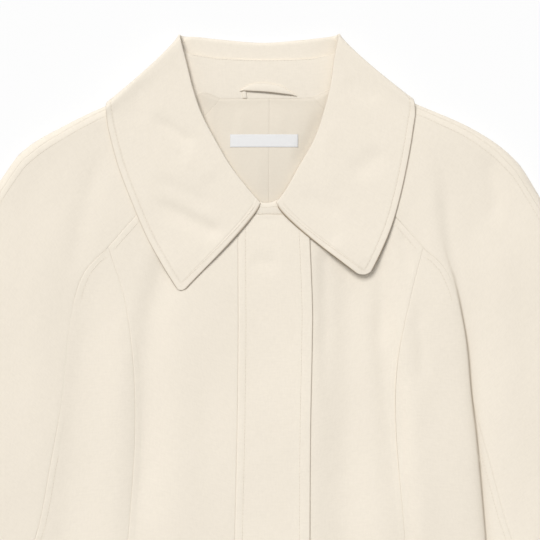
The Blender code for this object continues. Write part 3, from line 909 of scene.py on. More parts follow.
    def hem_stitches(self, inset: float) -> StitchRow:
        """Stitch row of a hem that runs across the panel.

        Args:
            inset: Distance above the last row in millimetres.

        Returns:
            The stitch row.
        """
        step = float(np.linalg.norm(self.first[-1] - self.first[-2]))
        row = np.full(HEM_PLACES, len(self.first) - 1 - inset / step)
        head, tail = read_rows(self.first, row[:1]), read_rows(self.last, row[:1])
        across = np.linspace(HEM_STOP, float(np.linalg.norm(tail - head)) - HEM_STOP, HEM_PLACES)
        return stitch_line(self.surface, row, across, self.layer.value)


def set_inputs(tree: NodeTree, node: Node, inputs: dict[object, object]) -> None:
    """Fills inputs of a node.

    Args:
        tree: Node tree that holds it.
        node: The node.
        inputs: A value to set or a socket to link for each input, by its name or number.
    """
    for key, value in inputs.items():
        if isinstance(value, NodeSocket):
            tree.links.new(value, node.inputs[key])
        else:
            node.inputs[key].default_value = value


def add_node(tree: NodeTree, kind: str, inputs: dict[object, object],
             **settings: object) -> Node:
    """Adds a node with its inputs filled.

    Args:
        tree: Node tree that gets it.
        kind: Type of the node.
        inputs: A value or a socket for each input that is filled.
        settings: Properties of the node itself.

    Returns:
        The new node.
    """
    node = tree.nodes.new(kind)
    for name, value in settings.items():
        setattr(node, name, value)
    set_inputs(tree, node, inputs)
    return node


def add_math(tree: NodeTree, operation: str, *values: object) -> NodeSocket:
    """Output of a new math node whose inputs are sockets or numbers."""
    return add_node(tree, "ShaderNodeMath", dict(enumerate(values)), operation=operation).outputs[0]


def start_group(name: str, numbers: Sequence[str],
                masks: Sequence[str]) -> tuple[NodeTree, Node]:
    """New node group that takes cloth coordinates.

    Args:
        name: Name of the group.
        numbers: Names of its number inputs.
        masks: Names of its outputs.

    Returns:
        The group and its input node.
    """
    tree = bpy.data.node_groups.new(name, "ShaderNodeTree")
    tree.interface.new_socket("Cloth", in_out="INPUT", socket_type="NodeSocketVector")
    for way, labels in (("INPUT", numbers), ("OUTPUT", masks)):
        for label in labels:
            tree.interface.new_socket(label, in_out=way, socket_type="NodeSocketFloat")
    return tree, tree.nodes.new("NodeGroupInput")


@functools.cache
def twill_weave(yarn_scale: float = 900.0, uneven: float = 0.9, weft: float = 0.35,
                slub: float = 0.5) -> NodeTree:
    """Diagonal twill of fine threads with uneven yarn.

    Args:
        yarn_scale: Uneven places of the yarn in a metre.
        uneven: How far they push the ribs.
        weft: Height of the weft beside the ribs.
        slub: Height of the thick places of the yarn.

    Returns:
        A group that turns cloth coordinates in metres into a height and a mask of painted shade between the
        ribs.
    """
    tree, entry = start_group("twill_weave", ("Ribs per metre", "Slant"), ("Height", "Painted rib shade"))
    cloth, ribs = entry.outputs["Cloth"], entry.outputs["Ribs per metre"]
    x, y, _ = add_node(tree, "ShaderNodeSeparateXYZ", {0: cloth}).outputs
    noise = {"Vector": cloth, "Scale": yarn_scale, "Detail": 2.0}
    yarn = add_node(tree, "ShaderNodeTexNoise", noise).outputs[0]
    across = add_math(tree, "ADD", x, add_math(tree, "MULTIPLY", y, entry.outputs["Slant"]))
    turns = add_math(tree, "MULTIPLY", across, ribs)
    turns = add_math(tree, "ADD", turns, add_math(tree, "MULTIPLY", yarn, uneven))
    waves = []
    for count, wave in ((turns, math.pi), (add_math(tree, "MULTIPLY", y, ribs), 2.0 * math.pi)):
        sine = add_math(tree, "SINE", add_math(tree, "MULTIPLY", count, wave))
        waves.append(add_math(tree, "ABSOLUTE", sine))
    rib, tick = waves
    height = add_math(tree, "ADD", rib, add_math(tree, "MULTIPLY", tick, weft))
    height = add_math(tree, "ADD", height, add_math(tree, "MULTIPLY", yarn, slub))
    add_node(tree, "NodeGroupOutput", {"Height": height, "Painted rib shade": rib})
    return tree


@functools.cache
def dye_mottle(rough: float = 0.62, yarn_scale: float = 620.0, stretch: float = 0.3) -> NodeTree:
    """Slow colour drift of dyed cloth, and the short uneven stretches of its yarn.

    Args:
        rough: Roughness of the drift's edges.
        yarn_scale: Uneven stretches in a metre, across the yarn.
        stretch: The same along the yarn, as a share.

    Returns:
        A group that turns cloth coordinates in metres into two masks.
    """
    tree, entry = start_group("dye_mottle", ("Patches per metre",), ("Mask", "Slubs"))
    cloth = entry.outputs["Cloth"]
    drift = {"Vector": cloth, "Scale": entry.outputs["Patches per metre"], "Detail": 4.0, "Roughness": rough}
    patch = add_node(tree, "ShaderNodeTexNoise", drift).outputs[0]
    slubs = []
    for shares in ((1.0, stretch, 1.0), (stretch, 1.0, 1.0)):
        turned = add_node(tree, "ShaderNodeMapping", {"Vector": cloth, "Scale": shares}).outputs[0]
        yarn = add_node(tree, "ShaderNodeTexNoise", {"Vector": turned, "Scale": yarn_scale, "Detail": 2.0})
        slubs.append(add_math(tree, "MULTIPLY", yarn.outputs[0], 0.5))
    add_node(tree, "NodeGroupOutput", {"Mask": patch, "Slubs": add_math(tree, "ADD", *slubs)})
    return tree


@dataclass(frozen=True)
class ClothFinish:
    """Finish of one woven cloth.

    Attributes:
        light: Colour of the yarn.
        deep: Colour of the dye's own drift, also used for the painted shade between the ribs and, darkened,
            along crease lines.
        slot: Material slot of the record that it belongs to.
        ribs: Ribs of the weave in a metre.
        slant: How far the ribs lean, 0 for a plain weave.
        relief: Height of the weave in metres.
        patches: Patches of the dye's drift in a metre.
        base: Share of the light colour before the masks are added.
        masks: Shares of the light colour that the rib mask of painted shade, the drift and the slubs add.
        painted_shade: Share of the deep colour kept in painted shade, the darker colour put where shade
            falls.
    """

    name: str
    light: Colour
    deep: Colour
    slot: Slot = Slot.SHELL
    roughness: float = 0.86
    sheen: float = 0.12
    ribs: float = 1500.0
    slant: float = 0.7
    relief: float = 0.00009
    patches: float = 46.0
    base: float = -0.18
    masks: Colour = (0.2, 0.2, 0.9)
    painted_shade: Colour = (0.42, 0.35, 0.27)
    bump: float = 0.5
    specular: float = 0.25
    sheen_roughness: float = 0.45

    def material(self) -> Material:
        """The finish as a material, built once.

        Returns:
            The material.
        """
        found = bpy.data.materials.get(self.name)
        if found is not None:
            return found
        material = bpy.data.materials.new(self.name)
        material.use_nodes = True
        tree = material.node_tree
        cloth = add_node(tree, "ShaderNodeUVMap", {}, uv_map=CLOTH_MAP).outputs["UV"]
        twill = {"Cloth": cloth, "Ribs per metre": self.ribs, "Slant": self.slant}
        weave = add_node(tree, "ShaderNodeGroup", twill, node_tree=twill_weave())
        mottle = add_node(tree, "ShaderNodeGroup", {"Cloth": cloth, "Patches per metre": self.patches},
                          node_tree=dye_mottle())
        share = self.base
        # The rib mask paints fine shade between the ribs; the drift and the slubs are the yarn's own uneven
        # tone.
        shown = (weave.outputs["Painted rib shade"], mottle.outputs["Mask"], mottle.outputs["Slubs"])
        for mask, weight in zip(shown, self.masks):
            share = add_math(tree, "MULTIPLY_ADD", mask, weight, share)
        # Painted shade: the point attribute mixes a darker copy of the deep colour into the cloth where
        # shade falls.
        dark = [keep * part for keep, part in zip(self.painted_shade, self.deep)]
        colours = {"Factor": share, "A": (*self.deep, 1.0), "B": (*self.light, 1.0)}
        yarn = add_node(tree, "ShaderNodeMix", colours, data_type="RGBA").outputs["Result"]
        painted_shade_mask = add_node(tree, "ShaderNodeAttribute", {}, attribute_name=PAINTED_SHADE_MARK).outputs["Fac"]
        colours = {"Factor": painted_shade_mask, "A": yarn, "B": (*dark, 1.0)}
        shade = add_node(tree, "ShaderNodeMix", colours, data_type="RGBA")
        relief = {"Strength": self.bump, "Distance": self.relief, "Height": weave.outputs["Height"]}
        set_inputs(tree, tree.nodes["Principled BSDF"], {
            "Base Color": shade.outputs["Result"],
            "Normal": add_node(tree, "ShaderNodeBump", relief).outputs["Normal"],
            "Roughness": self.roughness,
            "Specular IOR Level": self.specular,
            "Sheen Weight": self.sheen,
            "Sheen Roughness": self.sheen_roughness,
        })
        return material


SHELL_TWILL = ClothFinish("shell_twill", (0.905, 0.830, 0.714), (0.790, 0.720, 0.612))
# The same cloth as the shell twill, painted a little lighter: painted light on the doubled placket and
# collar leaf.
LIT_DOUBLED_TWILL = ClothFinish("lit_doubled_twill", (0.918, 0.842, 0.724), (0.801, 0.730, 0.621))
LINING_CLOTH = ClothFinish("lining_cloth", (0.795, 0.723, 0.612), (0.722, 0.652, 0.546), Slot.LINING,
                           roughness=0.62, sheen=0.05, ribs=2600.0, slant=0.0, relief=0.00004)
WHITE_TAPE = ClothFinish("white_tape", (0.80, 0.795, 0.79), (0.76, 0.755, 0.75), Slot.TAPE,
                         roughness=0.6, sheen=0.05, ribs=2200.0, slant=1.0, relief=0.00005)
# Painted shade: darker beads put in the needle holes, which look dark because shade falls into them.
NEEDLE_HOLE_SHADE = ClothFinish("needle_hole_shade", (0.80, 0.72, 0.605), (0.74, 0.66, 0.55),
                          roughness=0.9, sheen=0.0, ribs=3000.0, slant=1.0, relief=0.00002)
THREAD = ClothFinish("cream_thread", (0.872, 0.802, 0.692), (0.835, 0.762, 0.650),
                     roughness=0.7, sheen=0.2, ribs=3000.0, slant=1.0, relief=0.00004)


class Bead(NamedTuple):
    """A small long bead of thread or of shade in a needle hole, in millimetres.

    The first is its place in a stitch row, and raised is the height of its middle above the cloth.
    """

    kind: str
    first: int
    length: float
    width: float
    height: float
    raised: float
    finish: ClothFinish


STITCH_BEADS = (
    Bead("stitches", 1, 2.3, 0.5, 0.34, 0.06, THREAD),
    Bead("needle_hole_shades", 2, 0.95, 0.62, 0.3, 0.02, NEEDLE_HOLE_SHADE),
)


@dataclass
class Workroom:
    """Attributes:
        centre: Plan point that becomes the origin, in millimetres.
    """

    centre: Array

    @staticmethod
    def finished(name: str, mesh: Mesh, finish: ClothFinish) -> Object:
        """New object for a mesh, with its finish.

        Args:
            name: Name of the piece.
            mesh: Its mesh.
            finish: Its finish.

        Returns:
            The object.
        """
        mesh.materials.append(finish.material())
        piece = bpy.data.objects.new(name, mesh)
        bpy.context.scene.collection.objects.link(piece)
        return piece

    @staticmethod
    def ride(piece: Object, finish: ClothFinish, node: str = "") -> None:
        """Puts a piece on the frame.

        Args:
            piece: The piece.
            finish: Its finish. Not used.
            node: Name of the CAD node it replaces, if any.
        """
        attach(piece, BODY)
        if node:
            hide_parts(node)

    def sheet_object(self, name: str, points: Array, wall: float, finish: ClothFinish, up: bool = True,
                     crease: Optional[Array] = None) -> Object:
        """Object for a grid of points, with its wall on the inside.

        Args:
            name: Name of the piece.
            points: Grid of points on the outside, in millimetres.
            wall: Thickness of the cloth in millimetres.
            finish: Finish of the cloth.
            up: True if the outside of the middle of the grid faces up.
            crease: Depth of painted shade at each point, from 0 to 1.

        Returns:
            The new object.
        """
        rows, columns = points.shape[0] - 1, points.shape[1] - 1
        here = (rows // 2, columns // 2)
        beside, below = points[here[0], here[1] + 1], points[here[0] + 1, here[1]]
        facing = np.cross(beside - points[here], below - points[here])[2]
        mesh = bpy.data.meshes.new(name)
        bm = bmesh.new()
        bmesh.ops.create_grid(bm, x_segments=columns, y_segments=rows, size=0.5)
        if (facing > 0.0) != up:
            bmesh.ops.reverse_faces(bm, faces=bm.faces[:])
        bm.to_mesh(mesh)
        bm.free()
        spots = np.empty(len(mesh.vertices) * 3)
        mesh.vertices.foreach_get("co", spots)
        spots = spots.reshape(-1, 3) + 0.5
        column = np.rint(spots[:, 0] * columns).astype(int)
        row = np.rint(spots[:, 1] * rows).astype(int)
        places = (points[row, column] - self.centre) * MM
        mesh.vertices.foreach_set("co", places.ravel())
        mesh.polygons.foreach_set("use_smooth", np.ones(len(mesh.polygons), bool))
        self.lay_weave(mesh, points, row, column)
        # Painted shade is stored on the points, and the material turns it into darker colour.
        if crease is not None:
            mark = mesh.attributes.new(PAINTED_SHADE_MARK, "FLOAT", "POINT")
            mark.data.foreach_set("value", crease[row, column].astype(np.float32))
        mesh.update()
        piece = self.finished(name, mesh, finish)
        solid = piece.modifiers.new("wall", "SOLIDIFY")
        solid.thickness = wall * MM
        solid.offset = -1.0
        solid.use_even_offset = False
        return piece

    @staticmethod
    def lay_weave(mesh: Mesh, points: Array, row: Array, column: Array) -> None:
        """UV map in metres of cloth, so that the weave follows the sheet.

        Args:
            mesh: Mesh of the sheet.
            points: Its grid of points.
            row: Row of the grid at each point of the mesh.
            column: Column of the grid at each point of the mesh.
        """
        across = np.zeros(points.shape[:2])
        across[:, 1:] = np.cumsum(np.linalg.norm(np.diff(points, axis=1), axis=2), axis=1)
        across -= across[:, -1:] * 0.5
        middle = points[:, points.shape[1] // 2]
        down = np.repeat(lengths(middle)[:, None], points.shape[1], axis=1)
        flat = np.stack([across, down], axis=2)[row, column] * MM
        corners = np.empty(len(mesh.loops), np.int32)
        mesh.loops.foreach_get("vertex_index", corners)
        layer = mesh.uv_layers.new(name=CLOTH_MAP)
        layer.data.foreach_set("uv", flat[corners].ravel())

    def stitch_object(self, name: str, rows: Sequence[StitchRow]) -> list[Object]:
        """Objects for several rows of stitches: the threads, and beads of painted shade in the needle holes
        between them.

        Args:
            name: Name of the stitching.
            rows: The rows.

        Returns:
            The thread object and the object of painted shade in the needle holes.
        """
        LOG.info("stitches_%s: %d stitches", name, sum(len(row.points) // 2 for row in rows))
        return [self.bead_object(f"{bead.kind}_{name}", rows, bead) for bead in STITCH_BEADS]

    def bead_object(self, name: str, rows: Sequence[StitchRow], bead: Bead) -> Object:
        """One object of small long beads at every second place of the rows.

        Args:
            name: Name of the piece.
            rows: Stitch rows.
            bead: The bead.

        Returns:
            The new object.
        """
        joined = bmesh.new()
        for row in rows:
            bm = bmesh.new()
            for place in range(bead.first, len(row.points) - 1, 2):
                way = Vector(row.points[place + 1] - row.points[place - 1]).normalized()
                side = Vector(row.normals[place]).normalized().cross(way).normalized()
                up = way.cross(side)
                axes = (way * bead.length, side * bead.width, up * bead.height)
                size = Matrix(axes).transposed() * (0.5 * MM)
                spot = Vector((row.points[place] - self.centre) * MM) + up * bead.raised * MM
                bmesh.ops.create_icosphere(bm, subdivisions=1, radius=1.0,
                                           matrix=Matrix.Translation(spot) @ size.to_4x4())
            part = bpy.data.meshes.new(name)
            bm.to_mesh(part)
            bm.free()
            joined.from_mesh(part)
            bpy.data.meshes.remove(part)
        cloth = joined.loops.layers.uv.new(CLOTH_MAP)
        for face in joined.faces:
            face.smooth = True
            for loop in face.loops:
                loop[cloth].uv = loop.vert.co.xy
        mesh = bpy.data.meshes.new(name)
        joined.to_mesh(mesh)
        joined.free()
        piece = self.finished(name, mesh, bead.finish)
        self.ride(piece, bead.finish)
        return piece

    def sew(self, node: str, points: Array, wall: float, finish: ClothFinish, rests_on: Sequence[str],
            up: bool = True, crease: Optional[Array] = None, with_pieces: Sequence[Object] = ()) -> None:
        """Makes a sheet in place of a CAD node and states its cut.

        Args:
            node: Name of the node.
            points: Grid of points on the outside, in millimetres.
            wall: Thickness of the cloth in millimetres.
            finish: Finish of the cloth.
            rests_on: Names of what it lies on. Not used.
            up: True if the outside of the middle of the grid faces up.
            crease: Depth of painted shade at each point, from 0 to 1.
            with_pieces: Pieces that go with it. Not used.
        """
        piece = self.sheet_object(f"{node}_cloth", points, wall, finish, up, crease)
        self.ride(piece, finish, node)
        side, down = np.diff(points, axis=1), np.diff(points, axis=0)
        width = max(float(np.linalg.norm(side, axis=2).sum(axis=1).max()), NARROWEST_CUT) * MM
        length = float(np.linalg.norm(down, axis=2).sum(axis=0).max()) * MM
        area = np.linalg.norm(np.cross(side[:-1], down[:, :-1]), axis=2).sum() * MM * MM
        area = min(max(area, LEAST_FILL * width * length), width * length)
        LOG.info("%s: cut %.0f x %.0f mm", piece.name, width / MM, length / MM)

    def sew_panel(self, panel: Panel, wall: float, finish: ClothFinish, rests_on: Sequence[str],
                  stitches: Sequence[Object] = ()) -> None:
        """Makes a panel as a finished piece.

        Args:
            panel: The panel.
            wall: Thickness of the cloth in millimetres.
            finish: Finish of the cloth.
            rests_on: Names of what it lies on.
            stitches: Stitches that go with it.
        """
        points = panel.grid()
        self.sew(panel.name, points, wall, finish, rests_on, panel.faces_up, panel.painted_shade_grid(points), stitches)


@dataclass
class Fronts:
    """Centre fronts, side fronts and the fly."""

    plan: SeamPlan
    lie: Lie
    room: Workroom
    wall: float = 1.2
    fly_wall: float = 1.6
    fly_edge_drop: float = 1.0
    fly_drop: float = 5.3
    fly_trough: float = 33.0
    fly_drop_out: float = 55.0
    fly_top_dip: float = 0.15
    fly_stitch_start: float = 0.004
    side_pitch: float = 1.6
    side_stitch: tuple[float, float, float] = (0.02, 0.13, 0.44)
    hem: float = 25.0

    def under_fly(self, points: Array) -> Array:
        """How the right front sinks to pass under the fly.

        Args:
            points: Plan points.

        Returns:
            The height to add at each point.
        """
        fly = self.plan.fly
        out = points[:, 0] - np.interp(-points[:, 1], [-row.y for row in fly], [row.free_x for row in fly])
        sunk = self.fly_edge_drop + (self.fly_drop - self.fly_edge_drop) * soft_step(out / self.fly_trough)
        return -sunk * (1.0 - soft_step((out - self.fly_trough) / self.fly_drop_out))

    @staticmethod
    def fly_ease(points: Array) -> Array:
        """Slight dents of the fly."""
        return folded(FLY_FOLDS, points)

    def centre_panels(self) -> tuple[Panel, Panel, Panel]:
        """Panels of the centre front.

        Returns:
            The left front, the right front and the fly.
        """
        plan, lie = self.plan, self.lie
        seam, free, under = (plan.fly_line(name) for name in ("seam_x", "free_x", "under_x"))
        edges = [join(side, plan.raglan_upper, plan.princess) for side in Side]
        # Painted shade along the fly's free edge: a dark line, strongest at the top, where the edge throws
        # shade on the front below.
        painted_shade = (PaintedShadeLine(free, depth=0.55, fade=(0.02, 0.8)),
                   PaintedShadeLine(free[len(free) // 2:], depth=0.35, fade=(0.3, 0.4)))
        left = Panel("front_left", edges[0], seam, lie, Layer.FRONT, Sewn.FELLED, Sewn.PLAIN)
        right = Panel("front_right", edges[1], under, lie, Layer.FRONT, Sewn.FELLED, Sewn.CUT,
                      extra=self.under_fly)
        fly = Panel("placket", seam, free, lie, Layer.FRONT, Sewn.FLY_SEAM, Sewn.FLY_EDGE,
                    extra=self.fly_ease, top_dip=self.fly_top_dip, painted_shade=painted_shade)
        return left, right, fly

    def side_panel(self, side: Side) -> Panel:
        """The side front of one side.

        Args:
            side: Side of the jacket.

        Returns:
            The panel.
        """
        plan = self.plan
        # The fold is shaped in the cloth; crease holds the painted shade along it.
        fold, crease = armhole_crease_and_shade(side)
        return Panel(f"side_front_{side.value}", join(side, plan.raglan_lower, plan.body_side),
                     plan.princess.cut(side), self.lie, Layer.FRONT, Sewn.FELLED, Sewn.PLAIN,
                     pitch=self.side_pitch, calm=raglan_calm, fold_line=fold, painted_shade=crease)

    def stitch_rows(self, left: Panel, right: Panel, fly: Panel, sides: Sequence[Panel]) -> list[StitchRow]:
        """Stitch rows of the raglan seams, the fly and the hem.

        Args:
            left: Left front.
            right: Right front.
            fly: The fly.
            sides: Both side fronts.

        Returns:
            The stitch rows.
        """
        plan = self.plan
        edges = (Sewn.FELLED, Sewn.FLY_SEAM, Sewn.FLY_EDGE)
        felled, seam, edge = (EDGE_FORMS[sewn].stitch for sewn in edges)
        raglan_end = plan.raglan_upper.rows / (plan.raglan_upper.rows + plan.princess.rows)
        armhole_end = plan.raglan_lower.rows / plan.princess.rows
        start, hidden, shown = self.side_stitch
        rows = [panel.stitches(felled, 0.0, raglan_end) for panel in (left, right)]
        rows += [fly.stitches(across, self.fly_stitch_start, 1.0) for across in (seam, -edge)]
        for panel in sides:
            rows += [panel.stitches(felled, start, hidden), panel.stitches(felled, shown, armhole_end)]
        return rows + [panel.hem_stitches(self.hem) for panel in (left, right, fly, *sides)]

    def build(self) -> None:
        """Builds the panels and their stitching."""
        room = self.room
        left, right, fly = self.centre_panels()
        sides = [self.side_panel(side) for side in Side]
        thread = room.stitch_object("fronts", self.stitch_rows(left, right, fly, sides))
        room.sew_panel(left, self.wall, SHELL_TWILL, ("back",), thread)
        room.sew_panel(right, self.wall, SHELL_TWILL, ("back",))
        room.sew_panel(fly, self.fly_wall, LIT_DOUBLED_TWILL, ("front_right",))
        for panel in sides:
            room.sew_panel(panel, self.wall, SHELL_TWILL, ("back",))


@dataclass
class Sleeves:
    """Raglan sleeves: a front piece and a back piece that comes over the outer fold."""

    plan: SeamPlan
    lie: Lie
    room: Workroom
    wall: float = 1.2
    front_pitch: float = 2.4
    over_pitch: float = 1.2
    below_pitch: float = 5.0
    stitch_start: float = 0.05
    cuff: float = 25.0

    def panels(self, side: Side) -> tuple[Panel, Panel, Panel]:
        """Panels of one sleeve.

        Args:
            side: Side of the jacket.

        Returns:
            The front piece, and the back piece over and below the outer fold.
        """
        plan, lie = self.plan, self.lie
        edge, overarm = plan.sleeve_outline(side)
        # The fold is shaped in the cloth; crease holds the painted shade along it.
        fold, crease = armhole_crease_and_shade(side)
        front = Panel(f"sleeve_front_{side.value}", overarm,
                      join(side, plan.raglan_upper, plan.raglan_lower, plan.inner_sleeve), lie, Layer.FRONT,
                      Sewn.FELLED, Sewn.PLAIN, pitch=self.front_pitch, calm=raglan_calm, fold_line=fold,
                      painted_shade=crease)
        name = f"sleeve_back_{side.value}"
        over = Panel(name, overarm, edge, lie, Layer.FRONT, Sewn.PLAIN, Sewn.ROLLED, pitch=self.over_pitch)
        below = Panel(name, edge, join(side, plan.back_raglan, plan.inner_sleeve), lie, Layer.BACK,
                      Sewn.ROLLED, Sewn.ROLLED, pitch=self.below_pitch)
        return front, over, below

    def build(self) -> None:
        """Builds both sleeves and their stitching."""
        room = self.room
        sleeves = [self.panels(side) for side in Side]
        rows = []
        for front, _, below in sleeves:
            rows.append(front.stitches(EDGE_FORMS[Sewn.FELLED].stitch, self.stitch_start, 1.0))
            rows += [panel.hem_stitches(self.cuff) for panel in (front, below)]
        thread = room.stitch_object("sleeves", rows)
        for front, over, below in sleeves:
            room.sew_panel(front, self.wall, SHELL_TWILL, (below.name,), thread)
            wrap = np.concatenate([over.grid(), below.grid()], axis=1)
            room.sew(below.name, wrap, self.wall, SHELL_TWILL, (FLOOR,), up=False)
            thread = ()


@dataclass
class BackAndLining:
    """Back panel, its lining with the label, and the sleeve lining that shows beside it."""

    plan: SeamPlan
    lie: Lie
    room: Workroom
    wall: float = 1.2
    back_pitch: float = 5.0
    lining_gap: float = 0.7
    lining_wall: float = 1.0
    lining_pitch: float = 2.6
    seam_x: tuple[float, float] = (-0.5, -4.0)
    neck_y: float = 147.6
    neck_rise: float = 3.5
    neck_reach: float = 11.0
    neck_side: float = 0.6
    neck_side_from: float = 30.0
    neck_side_reach: float = 20.0
    neck_side_most: float = 1.2
    puff: float = 8.0
    puff_centre: tuple[float, float] = (-6.0, 87.0)
    puff_width: tuple[float, float] = (84.0, 72.0)
    corner_rows: int = 3
    corner_share: float = 0.62
    label_x: tuple[float, float] = (-34.0, 24.0)
    label_y: tuple[float, float] = (115.5, 104.5)
    label_wall: float = 0.16
    label_gap: float = 0.05
    label_cells: tuple[int, int] = (60, 14)

    @property
    def lining_depth(self) -> float:
        """How far the lining's upper side lies inside the back's outside."""
        return self.wall + self.lining_gap + self.lining_wall

    def ease(self, points: Array) -> Array:
        """Height of the loose lining: its folds, its fullness in the neck opening and its edge at the stand.

        Args:
            points: Plan points.

        Returns:
            The height to add at each point.
        """
        at_neck = bell(np.clip(self.neck_y - points[:, 1], 0.0, None), self.neck_reach)
        away = np.linalg.norm((points - np.array(self.puff_centre)) / np.array(self.puff_width), axis=1)
        loose = folded(LINING_FOLDS, points) + self.puff * bell(away, 1.0)
        aside = (np.abs(points[:, 0] - self.puff_centre[0]) - self.neck_side_from) / self.neck_side_reach
        rise = self.neck_rise + self.neck_side * np.clip(aside, 0.0, self.neck_side_most)
        return loose * (1.0 - at_neck) + rise * at_neck

    def build(self) -> None:
        """Builds every piece of the back."""
        edges = [join(side, self.plan.back_raglan, self.plan.body_side) for side in Side]
        back = Panel("back", *edges, self.lie, Layer.BACK, Sewn.ROLLED, Sewn.ROLLED, pitch=self.back_pitch)
        self.room.sew_panel(back, self.wall, SHELL_TWILL, (FLOOR,))
        for side in Side:
            self.build_lining(side)
        self.build_label()

    def build_lining(self, side: Side) -> None:
        """Builds one half of the back lining and one corner of the sleeve lining.

        Args:
            side: Side of the jacket.
        """
        rows = (self.plan.back_raglan.rows - 1) * ROW_DETAIL
        raglan = self.plan.back_raglan.cut(side)[:rows]
        raglan[0, 1] = self.neck_y
        levels = np.linspace(self.neck_y, raglan[-1][1], rows)
        middle = np.column_stack([np.linspace(*self.seam_x, rows), levels])
        corner = raglan[:self.corner_rows * ROW_DETAIL]
        overarm = self.plan.sleeve_outline(side)[1]
        shoulder = smooth((overarm[0], overarm[2 * ROW_DETAIL]), len(corner) - 1)
        outer = corner + self.corner_share * (shoulder - corner)
        half = Panel(f"lining_back_{side.value}", raglan, middle, self.lie, Layer.BACK, Sewn.LINED,
                     Sewn.LINED, depth=self.lining_depth, extra=self.ease, pitch=self.lining_pitch)
        strip = Panel(f"lining_sleeve_{side.value}", corner, outer, self.lie, Layer.BACK, Sewn.LINED,
                      Sewn.CUT, depth=self.lining_depth, extra=self.ease)
        self.room.sew_panel(half, self.lining_wall, LINING_CLOTH, ("back",))
        self.room.sew_panel(strip, self.lining_wall, LINING_CLOTH, (f"sleeve_back_{side.value}",))

    def build_label(self) -> None:
        """Builds the bare woven label on the lining."""
        columns, rows = self.label_cells
        xs, ys = np.meshgrid(np.linspace(*self.label_x, columns), np.linspace(*self.label_y, rows))
        flat = np.column_stack([xs.ravel(), ys.ravel()])
        height = self.lie.heights(flat, Layer.BACK) + self.ease(flat)
        height = height + self.lining_depth + self.label_wall + self.label_gap
        points = np.column_stack([flat, height]).reshape(rows, columns, 3)
        linings = [f"lining_back_{side.value}" for side in Side]
        self.room.sew("label", points, self.label_wall, WHITE_TAPE, linings)


# Depth of the tuck behind the roll on the front layer.
FRONT_TUCK = 3.5


class LeafRow(NamedTuple):
    """One cut across the collar leaf: roll line, outer edge, their heights, turn and depth of the tuck."""

    station: str
    roll_x: float
    roll_y: float
    edge_x: float
    edge_y: float
    roll_z: float = 16.9
    edge_z: float = 0.0
    turn: float = 0.0
    tuck: float = FRONT_TUCK


class StandRow(NamedTuple):
    """One cut across the collar stand: neckline edge and upper edge of the side that shows, and its turn."""

    station: str
    neck_x: float
    neck_y: float
    neck_z: float
    top_x: float
    top_y: float
    top_z: float
    turn: float


class LoopRow(NamedTuple):
    """One cut across the hanger loop: lower and upper edge, and their heights above the stand."""

    station: str
    low_x: float
    low_y: float
    high_x: float
    high_y: float
    low_z: float
    high_z: float


class StandStitch(NamedTuple):
    """A stitch row of the stand: the stations it runs between, its distance from the edge and its height."""

    start: str
    stop: str
    inset: float
    raised: float


# Turns in degrees of a cut at the fold of a shoulder and on the back layer.
FOLD_TURN = 90.0
BACK_TURN = 180.0

# Cuts across the leaf, the stand, the hanger loop and its leg, and the cut that gives the leaf's width.
LEAF_CUTS = 700
STAND_CUTS = 320
LOOP_CUTS = 60
LEG_CUTS = 16
WIDTH_CUT = 300

# Columns of points along the tuck, round the roll, along the fall, across the stand and across the loop.
TUCK_COLUMNS = 8
ROLL_COLUMNS = 12
FALL_COLUMNS = 34
STAND_COLUMNS = 10
LOOP_COLUMNS = 9

# Rows of points along the leaf and close to its front edges.
LEAF_ROWS = 340
LEAF_STEPS = (0.0, 0.2, 0.45, 0.8, 1.4, 2.4, 4.0, 5.0, 5.6, 6.0, 6.4, 7.0, 8.5, 11.0)
FRONT_STEPS = (*LEAF_STEPS[:7], *np.arange(4.6, 12.0, 0.5))

# Sewing of the leaf's edge, and the places read to lay out stitches along it and along its front edges.
LEAF_EDGE = EdgeForm(LEAF_STEPS, dip=0.35, dip_width=0.4, welt=0.16, stitch=6.0, groove=0.24)
EDGE_PLACES = 500
FRONT_PLACES = 300

# Points along a swollen front edge, the powers of its swell and the most that they come to.
SWELL_POINTS = 40
SWELL_POWER = 1.5
SWELL_PEAK = 0.325

# Power with which the shade at the points and at the throat ends.
BLUNT = 4.0

# Upward part of a normal at which cloth begins to face up, and the part over which it comes to.
UP_FROM = 0.6
UP_OVER = 0.3


def faces_up(cosine: Array) -> Array:
    """Share by which cloth counts as facing up, from the upward part of its normal."""
    return soft_step((cosine - UP_FROM) / UP_OVER)


